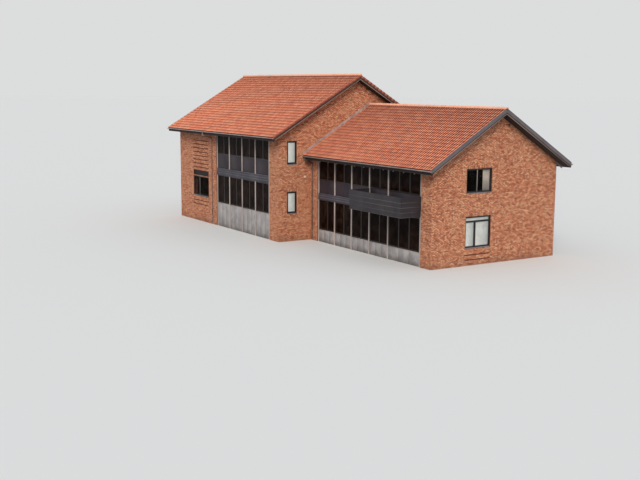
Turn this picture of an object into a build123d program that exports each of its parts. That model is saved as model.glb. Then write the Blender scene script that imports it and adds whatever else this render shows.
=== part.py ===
from build123d import *
import os
from math import cos, radians, tan

# A two-storey brick station building in two wings under tiled saddle roofs.
# Millimetres. X runs along the track, Y away from it, Z up; the origin is on
# the ground under the middle of the whole building.

# Plan of the two wings, brick face to brick face
TALL_LENGTH = 16170.0
TALL_DEPTH = 12500.0
LOW_LENGTH = 13370.0
LOW_DEPTH = 9900.0
WALL = 350.0

# Roof lines, measured on the tile surface
TALL_EAVE_Z = 7250.0
TALL_PITCH = 30.6
TALL_EAVE_OVERHANG = 790.0
TALL_VERGE = 630.0
LOW_EAVE_Z = 5940.0
LOW_PITCH = 31.4
LOW_EAVE_OVERHANG = 670.0
LOW_VERGE = 680.0

# Roof build-up, square to the slope
TILE_LAYER = 70.0
TILE_STEP = 20.0
TILE_COURSE = 335.0
DECK = 230.0
TILE_OVER_GUTTER = 60.0
RIDGE_RADIUS = 120.0
RIDGE_DROP = 45.0
VERGE_LIP = 15.0
BOARD_THICK = 28.0
TALL_BOARD_DEEP = 170.0
LOW_BOARD_DEEP = 235.0
LOW_BOARD_RISE = 15.0
MITRE_GAP = 3.0
FLASHING_THICK = 12.0
FLASHING_RISE = 150.0
RAFTER_SPACING = 1035.0
RAFTER_WIDE = 70.0
RAFTER_DEEP = 110.0
RAFTER_END_GAP = 90.0

# Gutters and downpipes
GUTTER_RADIUS = 72.0
GUTTER_SHEET = 6.0
PIPE_RADIUS = 45.0
PIPE_CLEAR = 25.0
SWAN_BELOW_DECK = 75.0
SWAN_DROP = 200.0
PIPE_FOOT = 120.0
PIPE_CLIP_COUNT = 3
CLIP_HIGH = 45.0
TALL_PIPE_FROM_PIER_END = 720.0
LOW_PIPE_FROM_END = 270.0

# Floor levels, top of the slab
TALL_GROUND_Z = 1050.0
TALL_UPPER_Z = 4430.0
LOW_GROUND_Z = 150.0
LOW_UPPER_Z = 3350.0
SLAB = 250.0

# Brick piers, and the glazed bays that fill the length between them
TALL_LEFT_PIER = 6650.0
TALL_RIGHT_PIER = 1265.0
LOW_LEFT_PIER = 870.0
LOW_RIGHT_PIER = 1000.0
PIER_GAP = 45.0
TALL_BAY_COUNT = 4
LOW_BAY_COUNT = 4
LOW_WIDE_BAY = 3246.0
BAY_SPLIT = 0.55
POST_WIDE = 90.0
POST_DEEP = 110.0
POST_SETBACK = 15.0

# Frames, panes and panels
FRAME_SETBACK = 45.0
FRAME_DEEP = 70.0
FRAME_BAR = 55.0
PANE = 24.0
PANEL_SETBACK = 60.0
PANEL = 50.0
BAND_PROUD = 30.0
BAND_STEP_COUNT = 3

# Heights of the glazing above or below each floor, and of the closing head panels
TALL_BASE_RISE = 750.0
TALL_BAND_DROP = 490.0
TALL_PANEL_RISE = 1050.0
TALL_HEAD_PANEL = 290.0
LOW_BASE_RISE = 700.0
LOW_BAND_DROP = 400.0
LOW_PANEL_RISE = 900.0
LOW_HEAD_PANEL = 218.0
BAND_RISE = 20.0

# Balcony in front of the wide bay and the bay beside it
BALCONY_OUT = 1490.0
BALCONY_STEP_DOWN = 20.0
BALCONY_FLOOR = 300.0
CHANNEL_FLANGE = 30.0
CHANNEL_RECESS = 25.0
BALCONY_PARAPET = 870.0
PARAPET_THICK = 45.0
RAIL_HIGH = 35.0
RAIL_PROUD = 15.0
BALCONY_BAY_COUNT = 1

# Window in the tall wing's wide pier, with a louvre over it
PIER_WINDOW_FROM_CORNER = 2500.0
PIER_WINDOW_WIDE = 2740.0
PIER_WINDOW_RISE = 920.0
PIER_WINDOW_HIGH = 1580.0
PIER_WINDOW_SPLIT = 0.38
LOUVRE_GAP = 70.0
LOUVRE_HIGH = 390.0
LOUVRE_BLADE_COUNT = 5
LOUVRE_SETBACK = 60.0
LOUVRE_DEEP = 60.0

# Windows in the gables, from the corner and above the floor
SLIT_FROM_CORNER = 680.0
SLIT_WIDE = 745.0
SLIT_RISE = 850.0
SLIT_LOWER_HIGH = 1520.0
SLIT_UPPER_HIGH = 1600.0
GABLE_WINDOW_FROM_CORNER = 2565.0
GABLE_WINDOW_WIDE = 1975.0
GABLE_LOWER_RISE = 885.0
GABLE_LOWER_HIGH = 1915.0
GABLE_LOWER_SPLIT = 0.40
GABLE_UPPER_RISE = 990.0
GABLE_UPPER_HIGH = 1465.0
GABLE_UPPER_SPLIT = 0.43
TRANSOM_DROP = 300.0
SILL_THICK = 50.0
SILL_PROUD = 35.0

# Recessed brick courses
BRICK_COURSE = 75.0
RELIEF_DEEP = 30.0
RELIEF_COURSE_COUNT = 4
RELIEF_ABOVE = 200.0
RELIEF_BELOW = 400.0
ABOVE_SLOT_COUNT = 8
BELOW_SLOT_COUNT = 2
GABLE_SLOT_COUNT = 2

# Round lamp on the tall gable
LAMP_RADIUS = 90.0
LAMP_RIM = 35.0
LAMP_OUT = 110.0
LAMP_FROM_CORNER = 2100.0
LAMP_Z = 4410.0

CUT = 10.0

# Places that follow from the sizes above
WHOLE_LENGTH = TALL_VERGE + TALL_LENGTH + LOW_LENGTH + LOW_VERGE
X_LEFT = -WHOLE_LENGTH / 2 + TALL_VERGE
X_MIDDLE = X_LEFT + TALL_LENGTH
X_RIGHT = X_MIDDLE + LOW_LENGTH
Y_REAR = TALL_DEPTH / 2
TALL_Y_FRONT = -TALL_DEPTH / 2
LOW_Y_FRONT = Y_REAR - LOW_DEPTH
TALL_GLAZED = TALL_LENGTH - TALL_LEFT_PIER - TALL_RIGHT_PIER
TALL_BAY = (TALL_GLAZED - 2 * PIER_GAP - POST_WIDE) / TALL_BAY_COUNT
LOW_GLAZED = LOW_LENGTH - LOW_LEFT_PIER - LOW_RIGHT_PIER
LOW_BAY = (LOW_GLAZED - 2 * PIER_GAP - POST_WIDE - LOW_WIDE_BAY) / LOW_BAY_COUNT
GLAZING_BACK = POST_SETBACK + POST_DEEP
TALL_BASE_TOP = TALL_GROUND_Z + TALL_BASE_RISE
TALL_BAND_BOTTOM = TALL_UPPER_Z - TALL_BAND_DROP
TALL_PANEL_TOP = TALL_UPPER_Z + TALL_PANEL_RISE
LOW_BASE_TOP = LOW_GROUND_Z + LOW_BASE_RISE
LOW_BAND_BOTTOM = LOW_UPPER_Z - LOW_BAND_DROP
LOW_PANEL_TOP = LOW_UPPER_Z + LOW_PANEL_RISE

nodes = {}


def box(x0, x1, y0, y1, z0, z1):
    """A block between two corners."""
    middle = ((x0 + x1) / 2, (y0 + y1) / 2, (z0 + z1) / 2)
    return Pos(*middle) * Box(x1 - x0, y1 - y0, z1 - z0)


def across(points, x0, x1):
    """A Y-Z outline carried along X."""
    outline = Plane.YZ.offset(x0) * Polygon(*points, align=None)
    return extrude(outline, amount=x1 - x0, dir=(1, 0, 0))


class Roof:
    """A saddle roof: its tile surface over the depth of one wing."""

    def __init__(self, y_front, y_rear, eave_z, pitch, overhang):
        self.y_front = y_front
        self.y_rear = y_rear
        self.ridge_y = (y_front + y_rear) / 2
        self.half = (y_rear - y_front) / 2 + overhang
        self.eave_z = eave_z
        self.slope = tan(radians(pitch))
        self.upright = 1 / cos(radians(pitch))

    def top(self, y, below=0.0):
        """Height of the tile surface at y, less a depth square to the slope."""
        away = abs(y - self.ridge_y)
        return self.eave_z + (self.half - away) * self.slope - below * self.upright

    def under(self, y):
        return self.top(y, TILE_LAYER + DECK)

    def eave_y(self, side, back=0.0):
        return self.ridge_y + side * (self.half - back)

    def layer(self, side, depth0, depth1, x0, x1, back=0.0, ridge_gap=0.0):
        """One slope of the roof between two depths below the tile surface."""
        eave = self.eave_y(side, back)
        ridge = self.ridge_y + side * ridge_gap
        points = [(eave, self.top(eave, depth0)), (ridge, self.top(ridge, depth0)),
                  (ridge, self.top(ridge, depth1)), (eave, self.top(eave, depth1))]
        return across(points, x0, x1)

    def courses(self, side, x0, x1):
        """Lapped tile courses: each lower edge stands one step over the next."""
        run = TILE_COURSE / self.upright
        count = int((self.half - RIDGE_RADIUS) // run)
        points = [(self.eave_y(side), self.top(self.eave_y(side)))]
        for i in range(1, count + 1):
            y = self.eave_y(side, i * run)
            points.append((y, self.top(y, TILE_STEP)))
            points.append((y, self.top(y)))
        points.append((self.ridge_y, self.top(self.ridge_y)))
        points.append((self.ridge_y, self.top(self.ridge_y, TILE_LAYER)))
        points.append((self.eave_y(side), self.top(self.eave_y(side), TILE_LAYER)))
        return across(points, x0, x1)

    def ridge(self, x0, x1):
        """Half-round ridge tiling that beds on both slopes."""
        centre_z = self.top(self.ridge_y) - RIDGE_DROP
        reach = 2 * RIDGE_RADIUS
        low = self.top(self.ridge_y + reach)
        bed = Polygon((self.ridge_y, self.top(self.ridge_y)), (self.ridge_y - reach, low),
                      (self.ridge_y - reach, centre_z - reach),
                      (self.ridge_y + reach, centre_z - reach),
                      (self.ridge_y + reach, low), align=None)
        profile = Pos(self.ridge_y, centre_z) * Circle(RIDGE_RADIUS) - bed
        return extrude(Plane.YZ.offset(x0) * profile, amount=x1 - x0, dir=(1, 0, 0))


class Side:
    """The outer face of a wall, on which a, depth inwards and z place a block."""

    def __init__(self, normal, at, inwards, roof):
        self.normal = normal
        self.at = at
        self.inwards = inwards
        self.roof = roof

    def block(self, a0, a1, d0, d1, z0, z1):
        near, far = sorted((self.at + self.inwards * d0, self.at + self.inwards * d1))
        if self.normal == "x":
            return box(near, far, a0, a1, z0, z1)
        return box(a0, a1, near, far, z0, z1)

    def upright(self, a0, a1, d0, d1, z0):
        """A block on an eaves side that runs up to the sloping roof deck."""
        y0 = self.at + self.inwards * d0
        y1 = self.at + self.inwards * d1
        points = [(y0, z0), (y1, z0), (y1, self.roof.under(y1)), (y0, self.roof.under(y0))]
        return across(points, a0, a1)


tall_roof = Roof(TALL_Y_FRONT, Y_REAR, TALL_EAVE_Z, TALL_PITCH, TALL_EAVE_OVERHANG)
low_roof = Roof(LOW_Y_FRONT, Y_REAR, LOW_EAVE_Z, LOW_PITCH, LOW_EAVE_OVERHANG)

tall_front = Side("y", TALL_Y_FRONT, 1, tall_roof)
tall_rear = Side("y", Y_REAR, -1, tall_roof)
low_front = Side("y", LOW_Y_FRONT, 1, low_roof)
low_rear = Side("y", Y_REAR, -1, low_roof)
left_gable = Side("x", X_LEFT, 1, tall_roof)
middle_gable = Side("x", X_MIDDLE, -1, tall_roof)
right_gable = Side("x", X_RIGHT, -1, low_roof)


# Windows: a frame with its bars, the panes between them and a sill

def lights(a0, a1, z0, z1, mullions):
    """The clear rectangles that the bars of a frame leave."""
    columns = [a0] + [a0 + part * (a1 - a0) for part in mullions] + [a1]
    found = []
    for i in range(len(columns) - 1):
        left = columns[i] + (FRAME_BAR if i == 0 else FRAME_BAR / 2)
        right = columns[i + 1] - (FRAME_BAR if i == len(columns) - 2 else FRAME_BAR / 2)
        found.append((left, right, z0 + FRAME_BAR, z1 - FRAME_BAR))
    return found


def window(side, a0, a1, z0, z1, mullions=()):
    """A frame and its panes, set back in a wall or between posts."""
    back = FRAME_SETBACK + FRAME_DEEP
    middle = FRAME_SETBACK + FRAME_DEEP / 2
    frame = side.block(a0, a1, FRAME_SETBACK, back, z0, z1)
    panes = []
    for left, right, bottom, top in lights(a0, a1, z0, z1, mullions):
        frame -= side.block(left, right, FRAME_SETBACK - CUT, back + CUT, bottom, top)
        panes.append(side.block(left, right, middle - PANE / 2, middle + PANE / 2, bottom, top))
    return frame, panes


def sill(side, a0, a1, z0):
    """A sill at the foot of a window opening, standing proud of the wall."""
    back = FRAME_SETBACK + FRAME_DEEP
    return side.block(a0, a1, -SILL_PROUD, back, z0, z0 + SILL_THICK)


def relief(side, a0, a1, z0, count, step):
    """Shallow slots one course high, every few courses up or down from the course at z0."""
    rise = BRICK_COURSE * RELIEF_COURSE_COUNT * step
    start = BRICK_COURSE * round(z0 / BRICK_COURSE)
    slots = []
    for i in range(count):
        z = start + i * rise
        slots.append(side.block(a0, a1, -CUT, RELIEF_DEEP, z, z + BRICK_COURSE))
    return slots


# Gable walls

def gable_wall(side, roof, openings, slots):
    """A wall that fills the gable up to the roof deck, cut by its windows."""
    near, far = sorted((side.at, side.at + side.inwards * WALL))
    points = [(roof.y_front, 0), (roof.y_rear, 0), (roof.y_rear, roof.under(roof.y_rear)),
              (roof.ridge_y, roof.under(roof.ridge_y)), (roof.y_front, roof.under(roof.y_front))]
    wall = across(points, near, far)
    for a0, a1, z0, z1 in openings:
        wall -= side.block(a0, a1, -CUT, WALL + CUT, z0, z1)
    for slot in slots:
        wall -= slot
    return wall


def opening(a0, wide, floor_z, rise, high):
    """A window opening, from its near edge and the floor behind it."""
    return (a0, a0 + wide, floor_z + rise, floor_z + rise + high)


def slits(a0):
    """The pair of narrow windows over each other in the tall wing's gables."""
    lower = opening(a0, SLIT_WIDE, TALL_GROUND_Z, SLIT_RISE, SLIT_LOWER_HIGH)
    upper = opening(a0, SLIT_WIDE, TALL_UPPER_Z, SLIT_RISE, SLIT_UPPER_HIGH)
    return [lower, upper]


gable_a0 = LOW_Y_FRONT + GABLE_WINDOW_FROM_CORNER
gable_lower = opening(gable_a0, GABLE_WINDOW_WIDE, LOW_GROUND_Z, GABLE_LOWER_RISE,
                      GABLE_LOWER_HIGH)
gable_upper = opening(gable_a0, GABLE_WINDOW_WIDE, LOW_UPPER_Z, GABLE_UPPER_RISE,
                      GABLE_UPPER_HIGH)
middle_openings = slits(TALL_Y_FRONT + SLIT_FROM_CORNER)
left_openings = middle_openings + slits(Y_REAR - SLIT_FROM_CORNER - SLIT_WIDE)
right_openings = [gable_lower, gable_upper]
gable_slots = relief(right_gable, gable_lower[0], gable_lower[1],
                     gable_lower[2] - RELIEF_BELOW, GABLE_SLOT_COUNT, -1)

nodes["tall_left_gable_wall"] = [gable_wall(left_gable, tall_roof, left_openings, [])]
nodes["tall_right_gable_wall"] = [gable_wall(middle_gable, tall_roof, middle_openings, [])]
nodes["low_right_gable_wall"] = [gable_wall(right_gable, low_roof, right_openings, gable_slots)]


# Brick piers beside the glazed bays

pier_window = opening(X_LEFT + PIER_WINDOW_FROM_CORNER, PIER_WINDOW_WIDE, TALL_GROUND_Z,
                      PIER_WINDOW_RISE, PIER_WINDOW_HIGH)
pier_a0, pier_a1, pier_sill_z, pier_head_z = pier_window
louvre_z0 = pier_head_z + LOUVRE_GAP
louvre_z1 = louvre_z0 + LOUVRE_HIGH


def wide_pier(side):
    """The tall wing's wide pier: one window, a louvre and recessed courses."""
    pier = side.upright(X_LEFT + WALL, X_LEFT + TALL_LEFT_PIER, 0, WALL, 0)
    for z0, z1 in ((pier_sill_z, pier_head_z), (louvre_z0, louvre_z1)):
        pier -= side.block(pier_a0, pier_a1, -CUT, WALL + CUT, z0, z1)
    above = louvre_z1 + RELIEF_ABOVE
    below = pier_sill_z - RELIEF_BELOW
    slots = relief(side, pier_a0, pier_a1, above, ABOVE_SLOT_COUNT, 1)
    slots += relief(side, pier_a0, pier_a1, below, BELOW_SLOT_COUNT, -1)
    for slot in slots:
        pier -= slot
    return pier


def tall_piers(side):
    narrow = side.upright(X_MIDDLE - TALL_RIGHT_PIER, X_MIDDLE - WALL, 0, WALL, 0)
    return [wide_pier(side), narrow]


def low_piers(side):
    left = side.upright(X_MIDDLE, X_MIDDLE + LOW_LEFT_PIER, 0, WALL, 0)
    right = side.upright(X_RIGHT - LOW_RIGHT_PIER, X_RIGHT - WALL, 0, WALL, 0)
    return [left, right]


nodes["tall_front_piers"] = tall_piers(tall_front)
nodes["tall_rear_piers"] = tall_piers(tall_rear)
nodes["low_front_piers"] = low_piers(low_front)
nodes["low_rear_piers"] = low_piers(low_rear)


# Floors: slabs between the walls, up to the back of the glazing

def floor(x0, x1, y_front, y_rear, glazed_x0, glazed_x1, top, bottom):
    """A slab with a tongue on each eaves side that meets the posts."""
    slab = box(x0, x1, y_front + WALL, y_rear - WALL, bottom, top)
    front = box(glazed_x0, glazed_x1, y_front + GLAZING_BACK, y_front + WALL, bottom, top)
    rear = box(glazed_x0, glazed_x1, y_rear - WALL, y_rear - GLAZING_BACK, bottom, top)
    return slab + front + rear


tall_glazed_x0 = X_LEFT + TALL_LEFT_PIER
tall_glazed_x1 = tall_glazed_x0 + TALL_GLAZED
low_glazed_x0 = X_MIDDLE + LOW_LEFT_PIER
low_glazed_x1 = low_glazed_x0 + LOW_GLAZED


def tall_floor(top):
    return [floor(X_LEFT + WALL, X_MIDDLE - WALL, TALL_Y_FRONT, Y_REAR,
                  tall_glazed_x0, tall_glazed_x1, top, top - SLAB)]


def low_floor(top, bottom):
    return [floor(X_MIDDLE, X_RIGHT - WALL, LOW_Y_FRONT, Y_REAR,
                  low_glazed_x0, low_glazed_x1, top, bottom)]


nodes["tall_ground_floor"] = tall_floor(TALL_GROUND_Z)
nodes["tall_upper_floor"] = tall_floor(TALL_UPPER_Z)
nodes["low_ground_floor"] = low_floor(LOW_GROUND_Z, 0)
nodes["low_upper_floor"] = low_floor(LOW_UPPER_Z, LOW_UPPER_Z - SLAB)


# Glazed bays: posts from the ground to the roof, with frames and panels between

tall_posts = [tall_glazed_x0 + PIER_GAP + i * TALL_BAY for i in range(TALL_BAY_COUNT + 1)]
low_posts = [low_glazed_x0 + PIER_GAP + i * LOW_BAY for i in range(LOW_BAY_COUNT + 1)]
low_posts.append(low_posts[-1] + LOW_WIDE_BAY)


def posts(side, places):
    return [side.upright(x, x + POST_WIDE, POST_SETBACK, GLAZING_BACK, 0) for x in places]


def gaps(places):
    """The clear widths between neighbouring posts."""
    return [(places[i] + POST_WIDE, places[i + 1]) for i in range(len(places) - 1)]


def panels(side, places, z0, z1):
    back = PANEL_SETBACK + PANEL
    return [side.block(a0, a1, PANEL_SETBACK, back, z0, z1) for a0, a1 in gaps(places)]


def band(side, x0, x1, z0, z1):
    """A folded metal band over the floor edge, in steps that come forward going down."""
    rise = (z1 - z0) / BAND_STEP_COUNT
    back = side.at + side.inwards * POST_SETBACK
    points = [(back, z0), (back, z1)]
    for i in range(BAND_STEP_COUNT):
        y = side.at - side.inwards * BAND_PROUD * (i + 1) / BAND_STEP_COUNT
        points += [(y, z1 - i * rise), (y, z1 - (i + 1) * rise)]
    return across(points, x0, x1)


def closers(side, x0, x1, places):
    """Dark strips, full height, in the gap between each pier and its post."""
    back = FRAME_SETBACK + FRAME_DEEP
    return [side.upright(x0, places[0], FRAME_SETBACK, back, 0),
            side.upright(places[-1] + POST_WIDE, x1, FRAME_SETBACK, back, 0)]


def bay_mullions(a0, a1):
    """One bar in a regular bay and two in the wide one."""
    return (1 / 3, 2 / 3) if a1 - a0 > (LOW_WIDE_BAY + LOW_BAY) / 2 else (BAY_SPLIT,)


def head_panel(side, a0, a1, z0):
    """The closing piece between a window's head and the roof deck."""
    return side.upright(a0, a1, PANEL_SETBACK, PANEL_SETBACK + PANEL, z0)


def glazed_storeys(sides, places, storeys):
    frames = []
    panes = []
    for side in sides:
        for a0, a1 in gaps(places):
            for z0, z1 in storeys:
                frame, glass = window(side, a0, a1, z0, z1, bay_mullions(a0, a1))
                frames.append(frame)
                panes += glass
    return frames, panes


def on_both(sides, make, *sizes):
    return [piece for side in sides for piece in make(side, *sizes)]


tall_sides = (tall_front, tall_rear)
low_sides = (low_front, low_rear)
tall_head = tall_roof.under(TALL_Y_FRONT) - TALL_HEAD_PANEL
low_head = low_roof.under(LOW_Y_FRONT) - LOW_HEAD_PANEL
tall_storeys = [(TALL_BASE_TOP, TALL_BAND_BOTTOM), (TALL_PANEL_TOP, tall_head)]
low_storeys = [(LOW_BASE_TOP, LOW_BAND_BOTTOM), (LOW_PANEL_TOP, low_head)]


def heads(side, places, z0):
    return [head_panel(side, a0, a1, z0) for a0, a1 in gaps(places)]


nodes["tall_posts"] = on_both(tall_sides, posts, tall_posts)
nodes["tall_window_frames"], nodes["tall_window_glass"] = glazed_storeys(
    tall_sides, tall_posts, tall_storeys)
nodes["tall_window_frames"] += on_both(
    tall_sides, closers, tall_glazed_x0, tall_glazed_x1, tall_posts)
nodes["tall_spandrel_panels"] = (
    on_both(tall_sides, panels, tall_posts, TALL_BAND_BOTTOM, TALL_PANEL_TOP)
    + on_both(tall_sides, heads, tall_posts, tall_head))
nodes["tall_base_panels"] = on_both(tall_sides, panels, tall_posts, 0, TALL_BASE_TOP)

nodes["low_posts"] = on_both(low_sides, posts, low_posts)
nodes["low_window_frames"], nodes["low_window_glass"] = glazed_storeys(
    low_sides, low_posts, low_storeys)
nodes["low_window_frames"] += on_both(
    low_sides, closers, low_glazed_x0, low_glazed_x1, low_posts)
nodes["low_spandrel_panels"] = (
    on_both(low_sides, panels, low_posts, LOW_BAND_BOTTOM, LOW_PANEL_TOP)
    + on_both(low_sides, heads, low_posts, low_head))
nodes["low_base_panels"] = on_both(low_sides, panels, low_posts, 0, LOW_BASE_TOP)


# Balcony: a steel-framed tray held on the posts, with a solid parapet on three sides

balcony_x0 = low_posts[LOW_BAY_COUNT - BALCONY_BAY_COUNT]
balcony_x1 = low_posts[-1] + POST_WIDE
balcony_top = LOW_UPPER_Z - BALCONY_STEP_DOWN
balcony_bottom = balcony_top - BALCONY_FLOOR
parapet_top = balcony_top + BALCONY_PARAPET


def parapet_panels():
    """Front panel, and two side panels that butt against its back, each with a rail."""
    outer = -BALCONY_OUT
    inner = outer + PARAPET_THICK
    rail_z = parapet_top + RAIL_HIGH
    rail_in = inner + RAIL_PROUD
    butt = rail_in + MITRE_GAP
    rail_wide = PARAPET_THICK + RAIL_PROUD

    def railed(a0, a1, rail_a0, rail_a1, d0, d1, rail_d1):
        panel = low_front.block(a0, a1, d0, d1, balcony_top, parapet_top)
        return panel + low_front.block(rail_a0, rail_a1, d0, rail_d1, parapet_top, rail_z)

    return [
        railed(balcony_x0, balcony_x1, balcony_x0, balcony_x1, outer, inner, rail_in),
        railed(balcony_x0, balcony_x0 + PARAPET_THICK, balcony_x0, balcony_x0 + rail_wide,
               butt, POST_SETBACK, POST_SETBACK),
        railed(balcony_x1 - PARAPET_THICK, balcony_x1, balcony_x1 - rail_wide, balcony_x1,
               butt, POST_SETBACK, POST_SETBACK)]


def balcony_tray():
    """A floor framed in steel channels, with their flanges at its top and bottom edges."""
    recess = CHANNEL_RECESS
    tray = low_front.block(balcony_x0 + recess, balcony_x1 - recess, -BALCONY_OUT + recess,
                           POST_SETBACK, balcony_bottom, balcony_top)
    for z0 in (balcony_bottom, balcony_top - CHANNEL_FLANGE):
        tray += low_front.block(balcony_x0, balcony_x1, -BALCONY_OUT, POST_SETBACK,
                                z0, z0 + CHANNEL_FLANGE)
    return tray


nodes["balcony_floor"] = [balcony_tray()]
nodes["balcony_parapet"] = parapet_panels()


def floor_bands():
    """One band a side and wing; the balcony floor takes its place where it stands."""
    tall = [band(side, tall_posts[0] + POST_WIDE, tall_posts[-1],
                 TALL_BAND_BOTTOM, TALL_UPPER_Z + BAND_RISE) for side in tall_sides]
    first = low_posts[0] + POST_WIDE
    top = LOW_UPPER_Z + BAND_RISE
    front = band(low_front, first, balcony_x0, LOW_BAND_BOTTOM, top)
    rear = band(low_rear, first, low_posts[-1], LOW_BAND_BOTTOM, top)
    return tall + [front, rear]


nodes["floor_bands"] = floor_bands()


# Single windows in the brick walls

def wall_window(side, a0, a1, z0, z1, mullions=()):
    """Sill, frame and panes that fill one opening."""
    frame, panes = window(side, a0, a1, z0 + SILL_THICK, z1, mullions)
    return sill(side, a0, a1, z0), frame, panes


def window_with_top_light(side, a0, a1, z0, z1, mullions, transom):
    """Lights side by side under one top light that is as wide as all of them."""
    lower, panes = window(side, a0, a1, z0 + SILL_THICK, transom + FRAME_BAR / 2, mullions)
    upper, top_pane = window(side, a0, a1, transom - FRAME_BAR / 2, z1)
    return sill(side, a0, a1, z0), lower + upper, panes + top_pane


def single_windows():
    """Every window that stands alone in brick, with its bars."""
    found = []
    for a0, a1, z0, z1 in middle_openings:
        found.append(wall_window(middle_gable, a0, a1, z0, z1))
    for a0, a1, z0, z1 in left_openings:
        found.append(wall_window(left_gable, a0, a1, z0, z1))
    for side in tall_sides:
        found.append(wall_window(side, *pier_window, (PIER_WINDOW_SPLIT,)))
    transom = gable_lower[3] - TRANSOM_DROP
    found.append(window_with_top_light(right_gable, *gable_lower, (GABLE_LOWER_SPLIT,), transom))
    found.append(wall_window(right_gable, *gable_upper, (GABLE_UPPER_SPLIT,)))
    return found


singles = single_windows()
nodes["window_sills"] = [found[0] for found in singles]
nodes["wall_window_frames"] = [found[1] for found in singles]
nodes["wall_window_glass"] = [pane for found in singles for pane in found[2]]


def louvre(side):
    """A frame of slanting blades, open between them."""
    back = LOUVRE_SETBACK + LOUVRE_DEEP
    frame = side.block(pier_a0, pier_a1, LOUVRE_SETBACK, back, louvre_z0, louvre_z1)
    left = pier_a0 + FRAME_BAR
    right = pier_a1 - FRAME_BAR
    clear = (louvre_z1 - louvre_z0) / (2 * LOUVRE_BLADE_COUNT + 1)
    for i in range(LOUVRE_BLADE_COUNT):
        z = louvre_z0 + (2 * i + 1) * clear
        outer = side.at + side.inwards * (LOUVRE_SETBACK - CUT)
        inner = side.at + side.inwards * (back + CUT)
        slot = [(outer, z), (inner, z + clear / 2), (inner, z + 1.5 * clear), (outer, z + clear)]
        frame -= across(slot, left, right)
    return frame


nodes["louvres"] = [louvre(side) for side in tall_sides]


# Roofs: deck, lapped tiles, ridge, verge boards, gutters, rafter feet

TALL_X0 = X_LEFT - TALL_VERGE
TALL_X1 = X_MIDDLE + TALL_VERGE
LOW_X1 = X_RIGHT + LOW_VERGE
tall_board_x0 = TALL_X0 + VERGE_LIP
tall_board_x1 = TALL_X1 - VERGE_LIP
LAYERS = TILE_LAYER + DECK


def deck(roof, side, x0, x1):
    return [roof.layer(side, TILE_LAYER, LAYERS, x0, x1, TILE_OVER_GUTTER)]


def boards(roof, x0, depth0, depth1):
    """A pair of verge boards with an open mitre at the ridge."""
    gap = MITRE_GAP / 2
    return [roof.layer(side, depth0, depth1, x0, x0 + BOARD_THICK, TILE_OVER_GUTTER, gap)
            for side in (-1, 1)]


for name, side in (("front", -1), ("rear", 1)):
    nodes[f"tall_{name}_roof_deck"] = deck(
        tall_roof, side, tall_board_x0 + BOARD_THICK, tall_board_x1 - BOARD_THICK)
    nodes[f"tall_{name}_tiles"] = [tall_roof.courses(side, TALL_X0, TALL_X1)]
    nodes[f"low_{name}_roof_deck"] = deck(low_roof, side, X_MIDDLE, LOW_X1 - BOARD_THICK)
    nodes[f"low_{name}_tiles"] = [low_roof.courses(side, X_MIDDLE, LOW_X1 - BOARD_THICK)]

nodes["tall_ridge_tiles"] = [tall_roof.ridge(TALL_X0, TALL_X1)]
nodes["low_ridge_tiles"] = [low_roof.ridge(X_MIDDLE, LOW_X1)]

tall_board_bottom = TILE_LAYER + TALL_BOARD_DEEP
low_board_bottom = LOW_BOARD_DEEP - LOW_BOARD_RISE
nodes["tall_verge_boards"] = (
    boards(tall_roof, tall_board_x0, TILE_LAYER, tall_board_bottom)
    + boards(tall_roof, tall_board_x1 - BOARD_THICK, TILE_LAYER, tall_board_bottom))
nodes["low_verge_boards"] = boards(low_roof, LOW_X1 - BOARD_THICK, 0, low_board_bottom)


def flashing(side):
    """A metal strip on the tall gable, along the low roof's tiles."""
    gap = RIDGE_RADIUS
    return low_roof.layer(side, -FLASHING_RISE, 0, X_MIDDLE, X_MIDDLE + FLASHING_THICK,
                          ridge_gap=gap)


nodes["roof_flashing"] = [flashing(side) for side in (-1, 1)]


def gutter(roof, side, x0, x1):
    """A half-round gutter with closed ends, hung on the deck's edge."""
    y = roof.eave_y(side, TILE_OVER_GUTTER) + side * GUTTER_RADIUS
    z = roof.top(roof.eave_y(side), TILE_LAYER)
    outer = Circle(GUTTER_RADIUS) - Pos(0, GUTTER_RADIUS) * Rectangle(
        2 * GUTTER_RADIUS, 2 * GUTTER_RADIUS)
    inner_radius = GUTTER_RADIUS - GUTTER_SHEET
    inner = Circle(inner_radius) - Pos(0, GUTTER_RADIUS) * Rectangle(
        2 * GUTTER_RADIUS, 2 * GUTTER_RADIUS)
    shell = extrude(Plane.YZ.offset(x0) * Pos(y, z) * outer, amount=x1 - x0, dir=(1, 0, 0))
    hollow = extrude(Plane.YZ.offset(x0 + GUTTER_SHEET) * Pos(y, z) * inner,
                     amount=x1 - x0 - 2 * GUTTER_SHEET, dir=(1, 0, 0))
    return shell - hollow


nodes["gutters"] = (
    [gutter(tall_roof, side, TALL_X0, TALL_X1) for side in (-1, 1)]
    + [gutter(low_roof, side, X_MIDDLE, LOW_X1) for side in (-1, 1)])


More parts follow.
